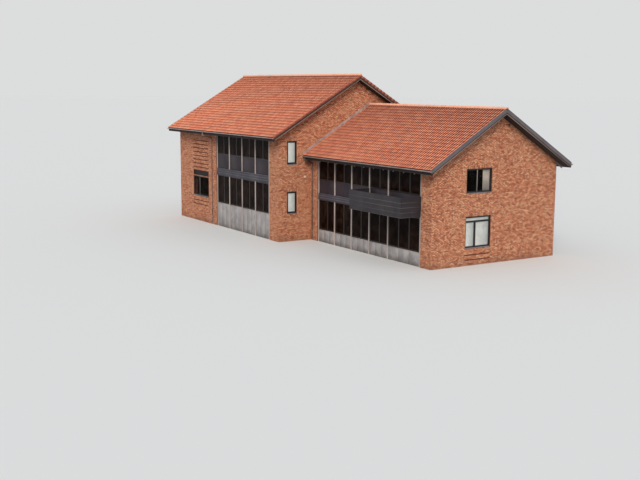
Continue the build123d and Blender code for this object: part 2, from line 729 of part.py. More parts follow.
def downpipe(wall, side, x):
    """Outlet, mitred swan neck back to the wall, and a drop held off it by clips."""
    roof = wall.roof
    y_gutter = roof.eave_y(side, TILE_OVER_GUTTER) + side * GUTTER_RADIUS
    y_wall = wall.at + side * (PIPE_RADIUS + PIPE_CLEAR)
    z_outlet = roof.top(roof.eave_y(side), TILE_LAYER) - GUTTER_RADIUS
    z_swan = roof.under(roof.eave_y(side, TILE_OVER_GUTTER)) - SWAN_BELOW_DECK
    path = Polyline((x, y_gutter, z_outlet), (x, y_gutter, z_swan),
                    (x, y_wall, z_swan - SWAN_DROP), (x, y_wall, PIPE_FOOT))
    section = Plane(path @ 0, z_dir=path % 0) * Circle(PIPE_RADIUS)
    pipe = sweep(section, path, transition=Transition.RIGHT)
    for i in range(PIPE_CLIP_COUNT):
        z = (z_swan - SWAN_DROP) * (i + 1) / (PIPE_CLIP_COUNT + 1)
        pipe += wall.block(x - PIPE_RADIUS / 2, x + PIPE_RADIUS / 2,
                           -PIPE_CLEAR - PIPE_RADIUS, 0, z, z + CLIP_HIGH)
    return pipe


tall_pipe_x = X_LEFT + TALL_LEFT_PIER - TALL_PIPE_FROM_PIER_END
low_pipe_x = X_MIDDLE + LOW_PIPE_FROM_END
nodes["downpipes"] = [
    downpipe(tall_front, -1, tall_pipe_x), downpipe(tall_rear, 1, tall_pipe_x),
    downpipe(low_front, -1, low_pipe_x), downpipe(low_rear, 1, low_pipe_x)]


def rafter_feet(wall, side, x0, x1):
    """Rafter ends under the low wing's eaves, plumb cut short of the gutter."""
    roof = wall.roof
    count = int((x1 - x0 - RAFTER_WIDE) // RAFTER_SPACING)
    start = (x0 + x1 - count * RAFTER_SPACING - RAFTER_WIDE) / 2
    tip = roof.eave_y(side, TILE_OVER_GUTTER + RAFTER_END_GAP)
    feet = []
    for i in range(count + 1):
        x = start + i * RAFTER_SPACING
        points = [(tip, roof.top(tip, LAYERS)), (wall.at, roof.top(wall.at, LAYERS)),
                  (wall.at, roof.top(wall.at, LAYERS + RAFTER_DEEP)),
                  (tip, roof.top(tip, LAYERS + RAFTER_DEEP))]
        feet.append(across(points, x, x + RAFTER_WIDE))
    return feet


nodes["rafter_feet"] = (
    rafter_feet(low_front, -1, low_glazed_x0, X_RIGHT)
    + rafter_feet(low_rear, 1, low_glazed_x0, X_RIGHT))


# Round lamp on the tall gable

def lamp(side, a, z):
    """A shallow dome on a wall, from a profile turned about its axis."""
    rim = Polyline((0, LAMP_OUT), (0, 0), (LAMP_RADIUS, 0), (LAMP_RADIUS, LAMP_RIM))
    crown = Spline((LAMP_RADIUS, LAMP_RIM), (0, LAMP_OUT), tangents=((0, 1), (-1, 0)))
    dome = revolve(Plane.XZ * make_face(rim + crown), axis=Axis.Z)
    return Pos(side.at, a, z) * Rot(0, 90, 0) * dome


nodes["wall_lamp"] = [lamp(middle_gable, TALL_Y_FRONT + LAMP_FROM_CORNER, LAMP_Z)]


os.makedirs("parts", exist_ok=True)
for name, pieces in nodes.items():
    solids = [solid for piece in pieces for solid in piece.solids()]
    export_step(Compound(children=solids), f"parts/{name}.step")
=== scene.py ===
import math
import bpy
import numpy as np
from mathutils import Matrix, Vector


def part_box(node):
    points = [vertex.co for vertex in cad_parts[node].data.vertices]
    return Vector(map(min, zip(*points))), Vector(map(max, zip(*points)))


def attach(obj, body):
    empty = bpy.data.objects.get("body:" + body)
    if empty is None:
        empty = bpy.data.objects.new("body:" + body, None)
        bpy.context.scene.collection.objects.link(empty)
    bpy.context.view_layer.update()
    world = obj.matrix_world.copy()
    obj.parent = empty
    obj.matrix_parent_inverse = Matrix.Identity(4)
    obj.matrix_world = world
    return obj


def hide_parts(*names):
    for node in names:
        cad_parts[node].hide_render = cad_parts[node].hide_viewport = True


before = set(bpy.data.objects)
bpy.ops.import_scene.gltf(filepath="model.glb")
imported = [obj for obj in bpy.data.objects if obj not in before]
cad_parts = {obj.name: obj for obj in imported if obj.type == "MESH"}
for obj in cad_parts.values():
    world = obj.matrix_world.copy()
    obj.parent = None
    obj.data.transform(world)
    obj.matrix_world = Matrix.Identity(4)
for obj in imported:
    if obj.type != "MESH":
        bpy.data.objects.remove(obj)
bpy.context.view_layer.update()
scene = bpy.context.scene


# The view and the studio
# The camera stands high in front of the building, off its low gable, and looks a little
# down. A pale floor and a plain soft sky light the building evenly.

CAMERA_PLACE = (58.196, -38.580, 10.610)
CAMERA_HEADING = 57.869
CAMERA_DOWN = 9.081
CAMERA_ROLL = 0.287
CAMERA_LENS = 54.22
FLOOR_REACH = 900.0
FLOOR_DROP = 0.002
FLOOR_COLOUR = (0.74, 0.74, 0.73, 1)
FLOOR_BOUNCE = (0.34, 0.33, 0.32, 1)
FLOOR_ROUGH = 0.9
SKY_COLOUR = (0.86, 0.92, 1.0, 1)
SKY_STRENGTH = 0.66
BACKDROP_COLOUR = (0.716, 0.723, 0.723, 1)
SUN_COLOUR = (1.0, 0.93, 0.84)
SUN_STRENGTH = 2.05
SUN_SOFTNESS = 24.0
SUN_HEADING = 52.0
SUN_HEIGHT = 35.0


def turned(axis, degrees):
    """A turn about X, Y or Z."""
    return Matrix.Rotation(math.radians(degrees), 4, axis)


def new_object(name, data):
    """An object at the origin that holds the data."""
    made = bpy.data.objects.new(name, data)
    scene.collection.objects.link(made)
    return made


camera = new_object("camera", bpy.data.cameras.new("camera"))
camera.data.lens = CAMERA_LENS
camera.data.clip_end = FLOOR_REACH
camera.matrix_world = (Matrix.Translation(CAMERA_PLACE) @ turned("Z", CAMERA_HEADING)
                       @ turned("X", 90 - CAMERA_DOWN) @ turned("Z", CAMERA_ROLL))
scene.camera = camera

sun = new_object("sun", bpy.data.lights.new("sun", "SUN"))
sun.data.energy = SUN_STRENGTH
sun.data.color = SUN_COLOUR
sun.data.angle = math.radians(SUN_SOFTNESS)
sun.matrix_world = turned("Z", SUN_HEADING) @ turned("X", 90 - SUN_HEIGHT)

scene.view_settings.view_transform = "Standard"


class Value:
    """A shader socket that is written like a number: sums and products add Math nodes."""

    def __init__(self, socket):
        self.socket = socket

    def node(self, kind, settings, sockets, output=0):
        """Any other node: its settings first, then the values or links of its sockets."""
        made = self.socket.id_data.nodes.new(kind)
        for name, setting in settings.items():
            if name == "stops":
                ramp = made.color_ramp
                ramp.elements[0].position, ramp.elements[0].color = setting[0]
                ramp.elements[1].position, ramp.elements[1].color = setting[-1]
                for place, colour in setting[1:-1]:
                    ramp.elements.new(place).color = colour
            else:
                setattr(made, name, setting)
        for name, value in sockets.items():
            if isinstance(value, Value):
                self.socket.id_data.links.new(value.socket, made.inputs[name])
            else:
                made.inputs[name].default_value = value
        return Value(made.outputs[output])

    def math(self, operation, *values):
        """A Math node over the values given, or over this value alone."""
        return self.node("ShaderNodeMath", {"operation": operation},
                         dict(enumerate(values or (self,))))

    def __add__(self, other):
        return self.math("ADD", self, other)

    def __sub__(self, other):
        return self.math("SUBTRACT", self, other)

    def __rsub__(self, other):
        return self.math("SUBTRACT", other, self)

    def __mul__(self, other):
        return self.math("MULTIPLY", self, other)

    def __truediv__(self, other):
        return self.math("DIVIDE", self, other)

    __radd__ = __add__
    __rmul__ = __mul__

    def between(self, low, high):
        """0 below low, 1 above high and a smooth rise from one to the other."""
        return self.node("ShaderNodeMapRange", {"interpolation_type": "SMOOTHSTEP"},
                         {"Value": self, "From Min": low, "From Max": high})

    def mix(self, low, high):
        """The colour low where this value is 0, and high where it is 1."""
        return self.node("ShaderNodeMix", {"data_type": "RGBA"},
                         {0: self, 6: low, 7: high}, 2)

    def ramp(self, *stops):
        """The colour at this value, from stops of a place and a colour."""
        return self.node("ShaderNodeValToRGB", {"stops": stops}, {"Fac": self})

    def noise(self, size, detail=2.0):
        """Cloudy noise over this place, with lumps about size metres across."""
        return self.node("ShaderNodeTexNoise", {},
                         {"Vector": self, "Scale": 1 / size, "Detail": detail})

    def stretched(self, x, y, z):
        """This place with its axes scaled, so that noise over it is drawn out."""
        return self.node("ShaderNodeVectorMath", {"operation": "MULTIPLY"},
                         {0: self, 1: (x, y, z)})

    def part(self, axis):
        """X, Y or Z of this place."""
        return self.node("ShaderNodeSeparateXYZ", {}, {0: self}, "XYZ".index(axis))

    def attribute(self, name):
        """A number that the mesh holds for each face or point."""
        return self.node("ShaderNodeAttribute", {"attribute_name": name}, {}, 2)


def new_finish(name):
    """A new material, and its Object coordinates in metres."""
    material = bpy.data.materials.new(name)
    material.use_nodes = True
    nodes = material.node_tree.nodes
    return material, Value(nodes.new("ShaderNodeTexCoord").outputs["Object"])


def close_finish(material, colour, rough, relief=None, depth=0.001, **fixed):
    """Feeds a material's shader: relief is a height from 0 to 1 that is depth metres high."""
    nodes = material.node_tree.nodes
    links = material.node_tree.links
    shader = nodes["Principled BSDF"]
    for name, value in (("Base Color", colour), ("Roughness", rough)):
        if isinstance(value, Value):
            links.new(value.socket, shader.inputs[name])
        else:
            shader.inputs[name].default_value = value
    for name, value in fixed.items():
        shader.inputs[name.replace("_", " ")].default_value = value
    if relief is not None:
        bump = relief.node("ShaderNodeBump", {}, {"Height": relief, "Distance": depth})
        links.new(bump.socket, shader.inputs["Normal"])
    return material


def seen_directly(place):
    """1 for what the camera sees itself, or in metal, or through glass."""
    rays = place.socket.id_data.nodes.new("ShaderNodeLightPath").outputs
    seen = Value(rays["Is Camera Ray"])
    for kind in ("Is Glossy Ray", "Is Transmission Ray"):
        seen = seen.math("MAXIMUM", seen, Value(rays[kind]))
    return seen


floor_finish, place = new_finish("studio_floor")
close_finish(floor_finish, seen_directly(place).mix(FLOOR_BOUNCE, FLOOR_COLOUR), FLOOR_ROUGH)
floor_mesh = bpy.data.meshes.new("studio_floor")
floor_mesh.from_pydata([(x * FLOOR_REACH, y * FLOOR_REACH, -FLOOR_DROP)
                        for x, y in ((-1, -1), (1, -1), (1, 1), (-1, 1))],
                       [], [(0, 1, 2, 3)])
floor_mesh.materials.append(floor_finish)
new_object("studio_floor", floor_mesh)

world = bpy.data.worlds.new("studio")
world.use_nodes = True
scene.world = world
sky = world.node_tree.nodes["Background"]
sky.inputs["Color"].default_value = SKY_COLOUR
sky.inputs["Strength"].default_value = SKY_STRENGTH
backdrop = world.node_tree.nodes.new("ShaderNodeBackground")
backdrop.inputs["Color"].default_value = BACKDROP_COLOUR
sky_light, backdrop_light = Value(sky.outputs[0]), Value(backdrop.outputs[0])
seen = seen_directly(sky_light)
both = seen.node("ShaderNodeMixShader", {}, {0: seen, 1: sky_light, 2: backdrop_light})
world.node_tree.links.new(both.socket, world.node_tree.nodes["World Output"].inputs[0])


# Brickwork
# Every outer wall is faced in hand-made orange-red bricks, 212 by 65 mm, laid in running
# bond with 10 mm bed joints. The wall behind them shows as mortar in the joints.

BRICK_LONG = 0.212
BRICK_HIGH = 0.065
JOINT = 0.010
HEAD_JOINT = 0.013
BRICK_PITCH = BRICK_LONG + HEAD_JOINT
BRICK_COURSE = BRICK_HIGH + JOINT
BRICK_PROUD = 0.005
BRICK_ARRIS = 0.006
BRICK_SUNK = 0.002
SMALLEST_CUT = 0.018
RECESS_DEEP = 0.030
SUNK_SHADE = 0.28
END_SHADE = 0.8
KILN_MARK = 0.74
BLOTCH = 0.080
BLOTCH_FLAT = 1.9
SOLDIER_HIGH = 0.215
SAME = 1e-4
SAME_EDGE = 0.01
NEAR_FACE = 0.2
BELOW_GROUND = -1.0

draw = np.random.default_rng(20)


def rgb(red, green, blue):
    """A colour as it looks on a screen, from 0 to 255, turned into linear light."""
    return (*[(part / 255) ** 2.2 for part in (red, green, blue)], 1)


def corners(node):
    """Every vertex of a CAD node, one row each."""
    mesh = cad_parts[node].data
    found = np.empty(len(mesh.vertices) * 3)
    mesh.vertices.foreach_get("co", found)
    return found.reshape(-1, 3)


def heights_at(node, y):
    """Heights of the vertices of a CAD node that lie at y."""
    found = corners(node)
    return found[np.abs(found[:, 1] - y) < SAME, 2]


def blocks(node):
    """Lowest and highest corner of each loose solid in a CAD node, as n x 2 x 3.

    Each triangle hands its corners the lowest of their labels, until none changes."""
    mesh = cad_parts[node].data
    places, merged = np.unique(np.round(corners(node), 4), axis=0, return_inverse=True)
    triangles = np.empty(len(mesh.polygons) * 3, int)
    mesh.polygons.foreach_get("vertices", triangles)
    triangles = merged.ravel()[triangles].reshape(-1, 3)
    label = np.arange(len(places))
    settled = False
    while not settled:
        lowest = np.repeat(label[triangles].min(1), 3)
        spread = label.copy()
        np.minimum.at(spread, triangles.ravel(), lowest)
        settled = (spread == label).all()
        label = spread
    found = [places[label == each] for each in np.unique(label)]
    return np.array([[solid.min(0), solid.max(0)] for solid in found])


def surface(name, points, faces, tone=None):
    """A new piece from rows of points and rows of point numbers, one row to a face."""
    mesh = bpy.data.meshes.new(name)
    mesh.vertices.add(len(points))
    mesh.vertices.foreach_set("co", np.ascontiguousarray(points, float).ravel())
    mesh.loops.add(faces.size)
    mesh.loops.foreach_set("vertex_index", np.ascontiguousarray(faces).ravel())
    mesh.polygons.add(len(faces))
    mesh.polygons.foreach_set("loop_start", np.arange(len(faces)) * faces.shape[1])
    mesh.update(calc_edges=True)
    if tone is not None:
        mesh.attributes.new("tone", "FLOAT", "FACE").data.foreach_set("value", tone)
    return new_object(name, mesh)


def fit(piece, slot, finish, *replaced):
    """Gives a new piece its finish, lets it ride on the building and hides the CAD nodes it
    replaces. slot is not used.
    """
    piece.data.materials.clear()
    piece.data.materials.append(finish)
    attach(piece, "root")
    if replaced:
        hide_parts(*replaced)
    return piece


def repaint(finish, *nodes):
    """Gives CAD nodes that keep their shape a better finish."""
    for node in nodes:
        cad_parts[node].material_slots[0].material = finish


class Face:
    """The outer face of a wall: a runs along it, out stands off it and z goes up."""

    def __init__(self, node, axis, outward):
        self.node = node
        self.axis, self.along = axis, 1 - axis
        self.outward = outward
        self.front = int(outward > 0)
        self.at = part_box(node)[self.front][axis]
        self.flipped = (axis == 0) != (outward > 0)

    def place(self, a, out, z):
        """Rows of x, y, z for points given along, off and up the face."""
        off = self.at + self.outward * np.broadcast_to(out, np.shape(a))
        pair = (off, a) if self.axis == 0 else (a, off)
        return np.stack([*pair, np.broadcast_to(z, np.shape(a))], -1)

    def solids(self, node):
        """The solids of a CAD node that lie in this face, as their corners."""
        return [solid for solid in blocks(node)
                if abs(solid[self.front][self.axis] - self.at) < NEAR_FACE]

    def span(self, solid):
        """Left, right, bottom and top of a solid."""
        low, high = solid
        return low[self.along], high[self.along], low[2], high[2]

    def stand_off(self, solid, behind=0):
        """How far off the face a solid's front stands, or with behind = 1 its back."""
        return self.outward * (solid[self.front ^ behind][self.axis] - self.at)

    def openings(self, node):
        """The spans of the solids of a CAD node that lie in this face."""
        return [self.span(solid) for solid in self.solids(node)]


def running_bond(a0, a1, top, lead):
    """Rows of a0, a1, z0, z1: brick j of course k starts at j pitches, plus half a pitch
    in every other course, and is trimmed to the ends of the wall."""
    courses, columns = int(top / BRICK_COURSE) + 1, int((a1 - a0) / BRICK_PITCH) + 2
    course, column = np.mgrid[0:courses, -1:columns]
    left = a0 + (column + 0.5 * ((course + lead) % 2)) * BRICK_PITCH
    bottom = course * BRICK_COURSE + JOINT / 2
    laid = np.stack([left, left + BRICK_LONG, bottom, bottom + BRICK_HIGH], -1).reshape(-1, 4)
    laid[:, :2] = laid[:, :2].clip(a0, a1)
    return laid


def whole(laid):
    """Leaves out bricks that are cut too small to lay."""
    long, high = laid[:, 1] - laid[:, 0], laid[:, 3] - laid[:, 2]
    return laid[(long > SMALLEST_CUT) & (high > SMALLEST_CUT)]


def cut(laid, hole):
    """Bricks round a rectangular hole: what is left of it, right of it, below and above."""
    left, right, bottom, top = hole
    touching = ((laid[:, 1] > left) & (laid[:, 0] < right)
                & (laid[:, 3] > bottom) & (laid[:, 2] < top))
    kept = [laid[~touching]]
    struck = laid[touching]
    for column, limit, edge in ((1, np.minimum, left), (0, np.maximum, right)):
        part = struck.copy()
        part[:, column] = limit(part[:, column], edge)
        kept.append(part)
    for column, limit, edge in ((3, np.minimum, bottom), (2, np.maximum, top)):
        part = struck.copy()
        part[:, :2] = part[:, :2].clip(left, right)
        part[:, column] = limit(part[:, column], edge)
        kept.append(part)
    return whole(np.concatenate(kept))


def within(laid, hole):
    """The parts of the bricks that lie in a rectangle."""
    found = laid.copy()
    found[:, :2] = found[:, :2].clip(hole[0], hole[1])
    found[:, 2:] = found[:, 2:].clip(hole[2], hole[3])
    return whole(found)


def soldiers(left, right, top):
    """Bricks on end over an opening: as many as fill its width, about a course apart."""
    count = round((right - left) / BRICK_COURSE)
    pitch = (right - left) / count
    a = left + JOINT / 2 + np.arange(count) * pitch
    low = np.full(count, top + JOINT)
    return np.stack([a, a + pitch - JOINT, low, low + SOLDIER_HIGH], -1)


def raised(name, face, laid, out, roof):
    """Each brick as a low block with a narrow chamfer round its face.

    Its eight points are the face, drawn in by the arris, and the foot in the wall. roof
    gives the height of the wall at a, and trims the top corners to the slope. A negative
    tone is shade: on the ends, and on the bricks of recessed courses."""
    a = laid[:, [0, 1, 1, 0]]
    z = laid[:, [2, 2, 3, 3]].copy()
    z[:, 2:] = np.maximum(np.minimum(z[:, 2:], roof(a[:, 2:])), z[:, :1])
    standing = z[:, 2:].max(1) - z[:, 0] > SMALLEST_CUT
    a, z, out = a[standing], z[standing], out[standing]
    inwards = BRICK_ARRIS * np.array([1, -1, -1, 1])
    upwards = BRICK_ARRIS * np.array([1, 1, -1, -1])
    front = face.place(a + inwards, out[:, None], z + upwards)
    foot = face.place(a, out[:, None] - BRICK_PROUD - BRICK_SUNK, z)
    points = np.concatenate([front, foot], 1).reshape(-1, 3)
    quads = np.array([[0, 1, 2, 3], [4, 5, 1, 0], [5, 6, 2, 1], [6, 7, 3, 2], [7, 4, 0, 3]])
    if face.flipped:
        quads = quads[:, ::-1]
    faces = (np.arange(len(a))[:, None, None] * 8 + quads).reshape(-1, 4)
    tone = np.repeat(np.where(out < 0, -SUNK_SHADE, draw.random(len(a)))[:, None], len(quads), 1)
    tone[:, [2, 4]] = -END_SHADE
    return surface(name, points, faces, tone.ravel())


def slope_of(node):
    """Height of a gable wall at a, from its own ridge and eaves corners."""
    low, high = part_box(node)
    ridge, half = (low.y + high.y) / 2, (high.y - low.y) / 2
    eaves = heights_at(node, low.y).max()
    return lambda a: high.z - np.abs(a - ridge) * (high.z - eaves) / half


def brick_finish():
    """Each brick has its own tone, from burnt red to pale orange, with sandy grain and
    burnt blotches where it lay against others in the kiln."""
    material, place = new_finish("brickwork")
    tone = place.attribute("tone")
    patch = place.noise(1.7, 3)
    fine = place.noise(0.035, 4)
    body = (tone * 0.8 + patch * 0.2).ramp(
        (0.0, rgb(150, 84, 62)), (0.14, rgb(202, 120, 88)), (0.3, rgb(240, 152, 112)),
        (0.55, rgb(252, 174, 130)), (0.8, rgb(255, 190, 146)), (1.0, rgb(255, 208, 170)))
    burnt = place.stretched(1, 1, BLOTCH_FLAT).noise(BLOTCH, 1).between(0.44, 0.62)
    body = (burnt * KILN_MARK).mix(body, rgb(112, 56, 43))
    # A negative tone paints shade: on the brick ends in the joints and on the recessed courses.
    body = (0 - tone).between(0, 1).mix(body, rgb(50, 26, 20))
    low = place.part("Z")
    damp = 1 - (low + patch * 0.9).between(0.25, 1.15)
    soiled = (damp * 0.45).mix(body, rgb(104, 74, 58))
    colour = (fine.between(0.35, 0.75) * 0.22).mix(soiled, rgb(120, 62, 46))
    grain = place.noise(0.006, 3)
    return close_finish(material, colour, 0.86 + grain * 0.1, grain + fine * 0.6, 0.0012)


def mortar_finish():
    """Sandy mortar: the bed joints are lighter and mottled, the upright joints darker.

    The middle of a bed joint lies at a whole number of courses."""
    material, place = new_finish("mortar")
    course = (place.part("Z") / BRICK_COURSE + 0.5).math("FRACT")
    bed = 1 - (course - 0.5).math("ABSOLUTE").between(0.06, 0.08)
    bed_mottle = place.noise(0.9, 4).mix(rgb(156, 106, 84), rgb(130, 84, 66))
    colour = bed.mix(rgb(78, 46, 36), bed_mottle)
    grain = place.noise(0.004, 2)
    return close_finish(material, colour, 0.95, grain, 0.001)


brickwork = brick_finish()
mortar = mortar_finish()

left_gable = Face("tall_left_gable_wall", 0, -1)
middle_gable = Face("tall_right_gable_wall", 0, 1)
right_gable = Face("low_right_gable_wall", 0, 1)
gables = (left_gable, middle_gable, right_gable)
sides = {wing: (Face(f"{wing}_front_piers", 1, -1), Face(f"{wing}_rear_piers", 1, 1))
         for wing in ("tall", "low")}


def window_holes(face):
    """The span of each window frame, lengthened down by the sill that it stands on."""
    found = []
    sills = face.openings("window_sills")
    for left, right, bottom, top in face.openings("wall_window_frames"):
        foot = max(sill[2] for sill in sills
                   if abs(sill[0] - left) < SAME_EDGE and sill[3] <= bottom + SAME_EDGE)
        found.append((left, right, foot, top))
    return found


def lay_recesses(face, laid):
    """Sets the bricks of recessed courses back, where the wall has shallow slots. Gives
    the bricks, and how far each stands off the face."""
    found = corners(face.node)
    depth = face.at - face.outward * RECESS_DEEP
    floor = np.unique(np.round(found[np.abs(found[:, face.axis] - depth) < SAME], 4), axis=0)
    if len(floor) == 0:
        return laid, np.full(len(laid), BRICK_PROUD)
    left, right = floor[:, face.along].min(), floor[:, face.along].max()
    sunk = []
    for bottom, top in np.unique(floor[:, 2]).reshape(-1, 2):
        hole = (left, right, bottom, top)
        sunk.append(within(laid, hole))
        laid = cut(laid, hole)
    sunk = np.concatenate(sunk)
    out = np.repeat([BRICK_PROUD, BRICK_PROUD - RECESS_DEEP], [len(laid), len(sunk)])
    return np.concatenate([laid, sunk]), out


def lay_gable(name, face, hidden_below):
    """A gable's bricks, with its windows cut out and soldiers laid over them. hidden_below
    gives the height at a up to which no brick shows."""
    low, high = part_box(face.node)
    laid = whole(running_bond(low.y - BRICK_PROUD, high.y + BRICK_PROUD, high.z, 0))
    for left, right, bottom, top in window_holes(face):
        laid = cut(laid, (left, right, bottom, top + SOLDIER_HIGH + JOINT))
        laid = np.concatenate([laid, soldiers(left, right, top)])
    laid, out = lay_recesses(face, laid)
    shown = laid[:, 3] > hidden_below(laid[:, :2].mean(1))
    piece = raised(name, face, laid[shown], out[shown], slope_of(face.node))
    fit(piece, "brickwork", brickwork)


def lay_piers(name, face, stretches):
    """The bricks of an eaves wall's piers, with windows, louvres and recesses cut. Each
    stretch goes from one place along the wall to another."""
    top = heights_at(face.node, face.at).max()
    laid = np.concatenate([whole(running_bond(a0, a1, top, 1)) for a0, a1 in stretches])
    for hole in window_holes(face) + face.openings("louvres"):
        laid = cut(laid, hole)
    laid, out = lay_recesses(face, laid)
    piece = raised(name, face, laid, out, lambda a: np.full(np.shape(a), top))
    fit(piece, "brickwork", brickwork)


low_roof_height = slope_of("low_right_gable_wall")
low_front_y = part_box("low_right_gable_wall")[0].y


def under_low_roof(y):
    """The low wing hides the middle gable up to its roof, from its front wall back."""
    return np.where(y < low_front_y + BRICK_PITCH, BELOW_GROUND, low_roof_height(y))


def nowhere(y):
    """Nothing hides the other gables."""
    return np.full(len(y), BELOW_GROUND)


lay_gable("bricks_left_gable", left_gable, nowhere)
lay_gable("bricks_middle_gable", middle_gable, under_low_roof)
lay_gable("bricks_right_gable", right_gable, nowhere)

tall_wide, tall_narrow = blocks("tall_front_piers")
low_left, low_right = blocks("low_front_piers")
for row, tall, low, corner in zip(("front", "rear"), sides["tall"], sides["low"],
                                  (BRICK_PROUD, 0)):
    lay_piers(f"bricks_tall_{row}", tall, ((left_gable.at - BRICK_PROUD, tall_wide[1][0]),
                                           (tall_narrow[0][0], middle_gable.at + corner)))
    lay_piers(f"bricks_low_{row}", low, ((middle_gable.at, low_left[1][0]),
                                         (low_right[0][0], right_gable.at + BRICK_PROUD)))
repaint(mortar, *(wall.node for wall in (*gables, *sides["tall"], *sides["low"])))


# Clay roof tiles
# Interlocking pantiles of fired orange-red clay, hung on battens in courses of 335 mm and
# columns of 225 mm. Each laps its neighbours with its lower end and its right edge.

TILE_COURSE = 0.335
TILE_COLUMN = 0.225
TILE_ROLL = 0.044
TILE_SUNK = 0.036
TILE_ROLL_AT = 0.62
TILE_ROLL_SHARP = 1.5
TILE_STEP = 0.020
TILE_SHADED = 0.130
TILE_BUTT = 0.024
TILE_NOSE_LONG = 0.010
TILE_NOSE_DROP = 0.006
TILE_LAP = 0.010
TILE_LAP_WIDE = 0.3
TILE_SEGMENTS = 8
TILE_PLAY = 0.0016
ROW_DEPTHS = np.array([2.0, 0.8, 0.1, 0.6, 2.2])
TROUGH_DEPTH = 1.1
RISING_DEPTH = 0.3
RIDGE_DEPTH = 0.9
RIDGE_SHADE = 0.16
EAVE_UNDER = 0.16
EAVE_THICK = 0.018
FLANK_THICK = 0.016
FLANK_DEEP = 0.150
FLANK_RISE = 0.004
FLANK_ROUND = 0.006
FLANK_BACK = 0.003


class Slope:
    """One side of a roof: x runs along it, s up it from the eave and off stands off it."""

    def __init__(self, node):
        found = corners(node)
        low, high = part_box(node)
        self.x0, self.x1 = low.x, high.x
        ridge = found[found[:, 2].argmax(), 1:]
        self.outward = -1 if ridge[0] - low.y > high.y - ridge[0] else 1
        eave_y = low.y if self.outward < 0 else high.y
        self.eave = np.array([eave_y, heights_at(node, eave_y).max()])
        self.length = np.linalg.norm(ridge - self.eave)
        self.up = (ridge - self.eave) / self.length
        self.square = np.array([self.up[1] * self.outward, -self.up[0] * self.outward])

    def place(self, x, s, off):
        """Rows of x, y, z for points given along, up and off the slope."""
        x, s, off = np.broadcast_arrays(x, s, off)
        pair = (self.eave + s[..., None] * self.up + off[..., None] * self.square)
        return np.concatenate([x[..., None], pair], -1)

    def reach(self, y):
        """How far up the slope a plumb line at y meets it."""
        return abs(y - self.eave[0]) / abs(self.up[0])


def tile_line(u):
    """Height over u from 0 to 1 across a tile: a raised cosine to a power makes the roll,
    and the left edge, under the next tile, lies lower."""
    roll = TILE_ROLL * (0.5 + 0.5 * np.cos(2 * math.pi * (u - TILE_ROLL_AT))) ** TILE_ROLL_SHARP
    return roll - TILE_SUNK - TILE_LAP * (1 - u / TILE_LAP_WIDE).clip(0)


def tiled(name, node, inset):
    """All tiles of a slope, from inset to inset: the rows of each are its butt, nose, nose,
    where the shade of the next tile starts, and its upper end.

    The point attribute depth paints shade on a tile's butt, under the ridge tiles and, mostly in
    the trough, up under the tile above; it also darkens the tiles towards the ridge. The last faces
    close the eave from below, in full painted shade."""
    slope = Slope(node)
    x0, x1 = slope.x0 + inset, slope.x1 - inset
    columns = round((x1 - x0) / TILE_COLUMN)
    wide = (x1 - x0) / columns
    courses = int(slope.length / TILE_COURSE) + 1
    u = np.append(np.linspace(0, 1, TILE_SEGMENTS + 1), 1.0)
    line = tile_line(u)
    line[-1] = line[0] - TILE_PLAY
    count = courses * columns
    course, column = np.divmod(np.arange(count), columns)
    start = course * TILE_COURSE + draw.normal(0, TILE_PLAY, count) * (course > 0)
    rows = np.array([0, 0, TILE_NOSE_LONG, TILE_COURSE - TILE_SHADED, TILE_COURSE])
    drops = np.array([-TILE_BUTT, -TILE_NOSE_DROP, 0, TILE_SHADED / TILE_COURSE - 1, -1])
    drops[3:] *= TILE_STEP
    x = x0 + (column[:, None, None] + u) * wide
    s = (start[:, None] + rows)[:, :, None]
    lift = draw.normal(0, TILE_PLAY, count)[:, None, None]
    off = line + drops[:, None] + lift
    points = slope.place(x, s.clip(0, slope.length - TILE_STEP), off)
    row, step = np.mgrid[0:len(rows) - 1, 0:len(u) - 1].reshape(2, -1)
    first = row * len(u) + step
    quads = np.stack([first, first + 1, first + len(u) + 1, first + len(u)], -1)
    faces = (np.arange(count)[:, None, None] * len(rows) * len(u) + quads).reshape(-1, 4)
    tone = np.repeat(draw.random(count), len(quads))
    flat = np.tile((row == 0) | (step == len(u) - 2), count)
    under_u = np.tile(u[:-1], columns)
    under_x = x0 + (np.repeat(np.arange(columns), len(u) - 1) + under_u) * wide
    edge = np.stack([slope.place(under_x, s0, tile_line(under_u) - EAVE_THICK)
                     for s0 in (EAVE_UNDER, 0.0)])
    across = np.arange(len(under_x) - 1)
    under = np.stack([across, across + 1, across + len(under_x) + 1, across + len(under_x)], -1)
    trough = 1 - (line - line.min()) / (line.max() - line.min())
    depth = ROW_DEPTHS[:, None] * trough + TROUGH_DEPTH * trough ** 2
    depth = depth + RISING_DEPTH * (s / slope.length) ** 2
    depth = depth + RIDGE_DEPTH * (1 - (slope.length - s) / RIDGE_SHADE).clip(0)
    depth = np.concatenate([depth.ravel(), np.ones(2 * len(under_x))])
    points = np.concatenate([points.reshape(-1, 3), edge.reshape(-1, 3)])
    faces = np.concatenate([faces, under + count * len(rows) * len(u)])
    tone = np.concatenate([tone, np.full(len(under), 0.5)])
    if slope.outward > 0:
        faces = faces[:, ::-1]
    piece = surface(name, points, faces, tone)
    piece.data.attributes.new("depth", "FLOAT", "POINT").data.foreach_set("value", depth)
    smooth = np.concatenate([~flat, np.zeros(len(under), bool)])
    piece.data.polygons.foreach_set("use_smooth", smooth)
    return piece


def outwards(points, quads):
    """Faces of n closed solids, n x v x 3, that share one set of quads: a solid whose
    volume comes out negative has its faces turned over."""
    a, b, c, d = (points[:, quads[:, corner]] for corner in range(4))
    middle = points.mean(1, keepdims=True)
    volume = (np.cross(c - a, d - b) * (a - middle)).sum((1, 2))
    faces = quads + np.arange(len(points))[:, None, None] * points.shape[1]
    return np.where(volume[:, None, None] < 0, faces[..., ::-1], faces)


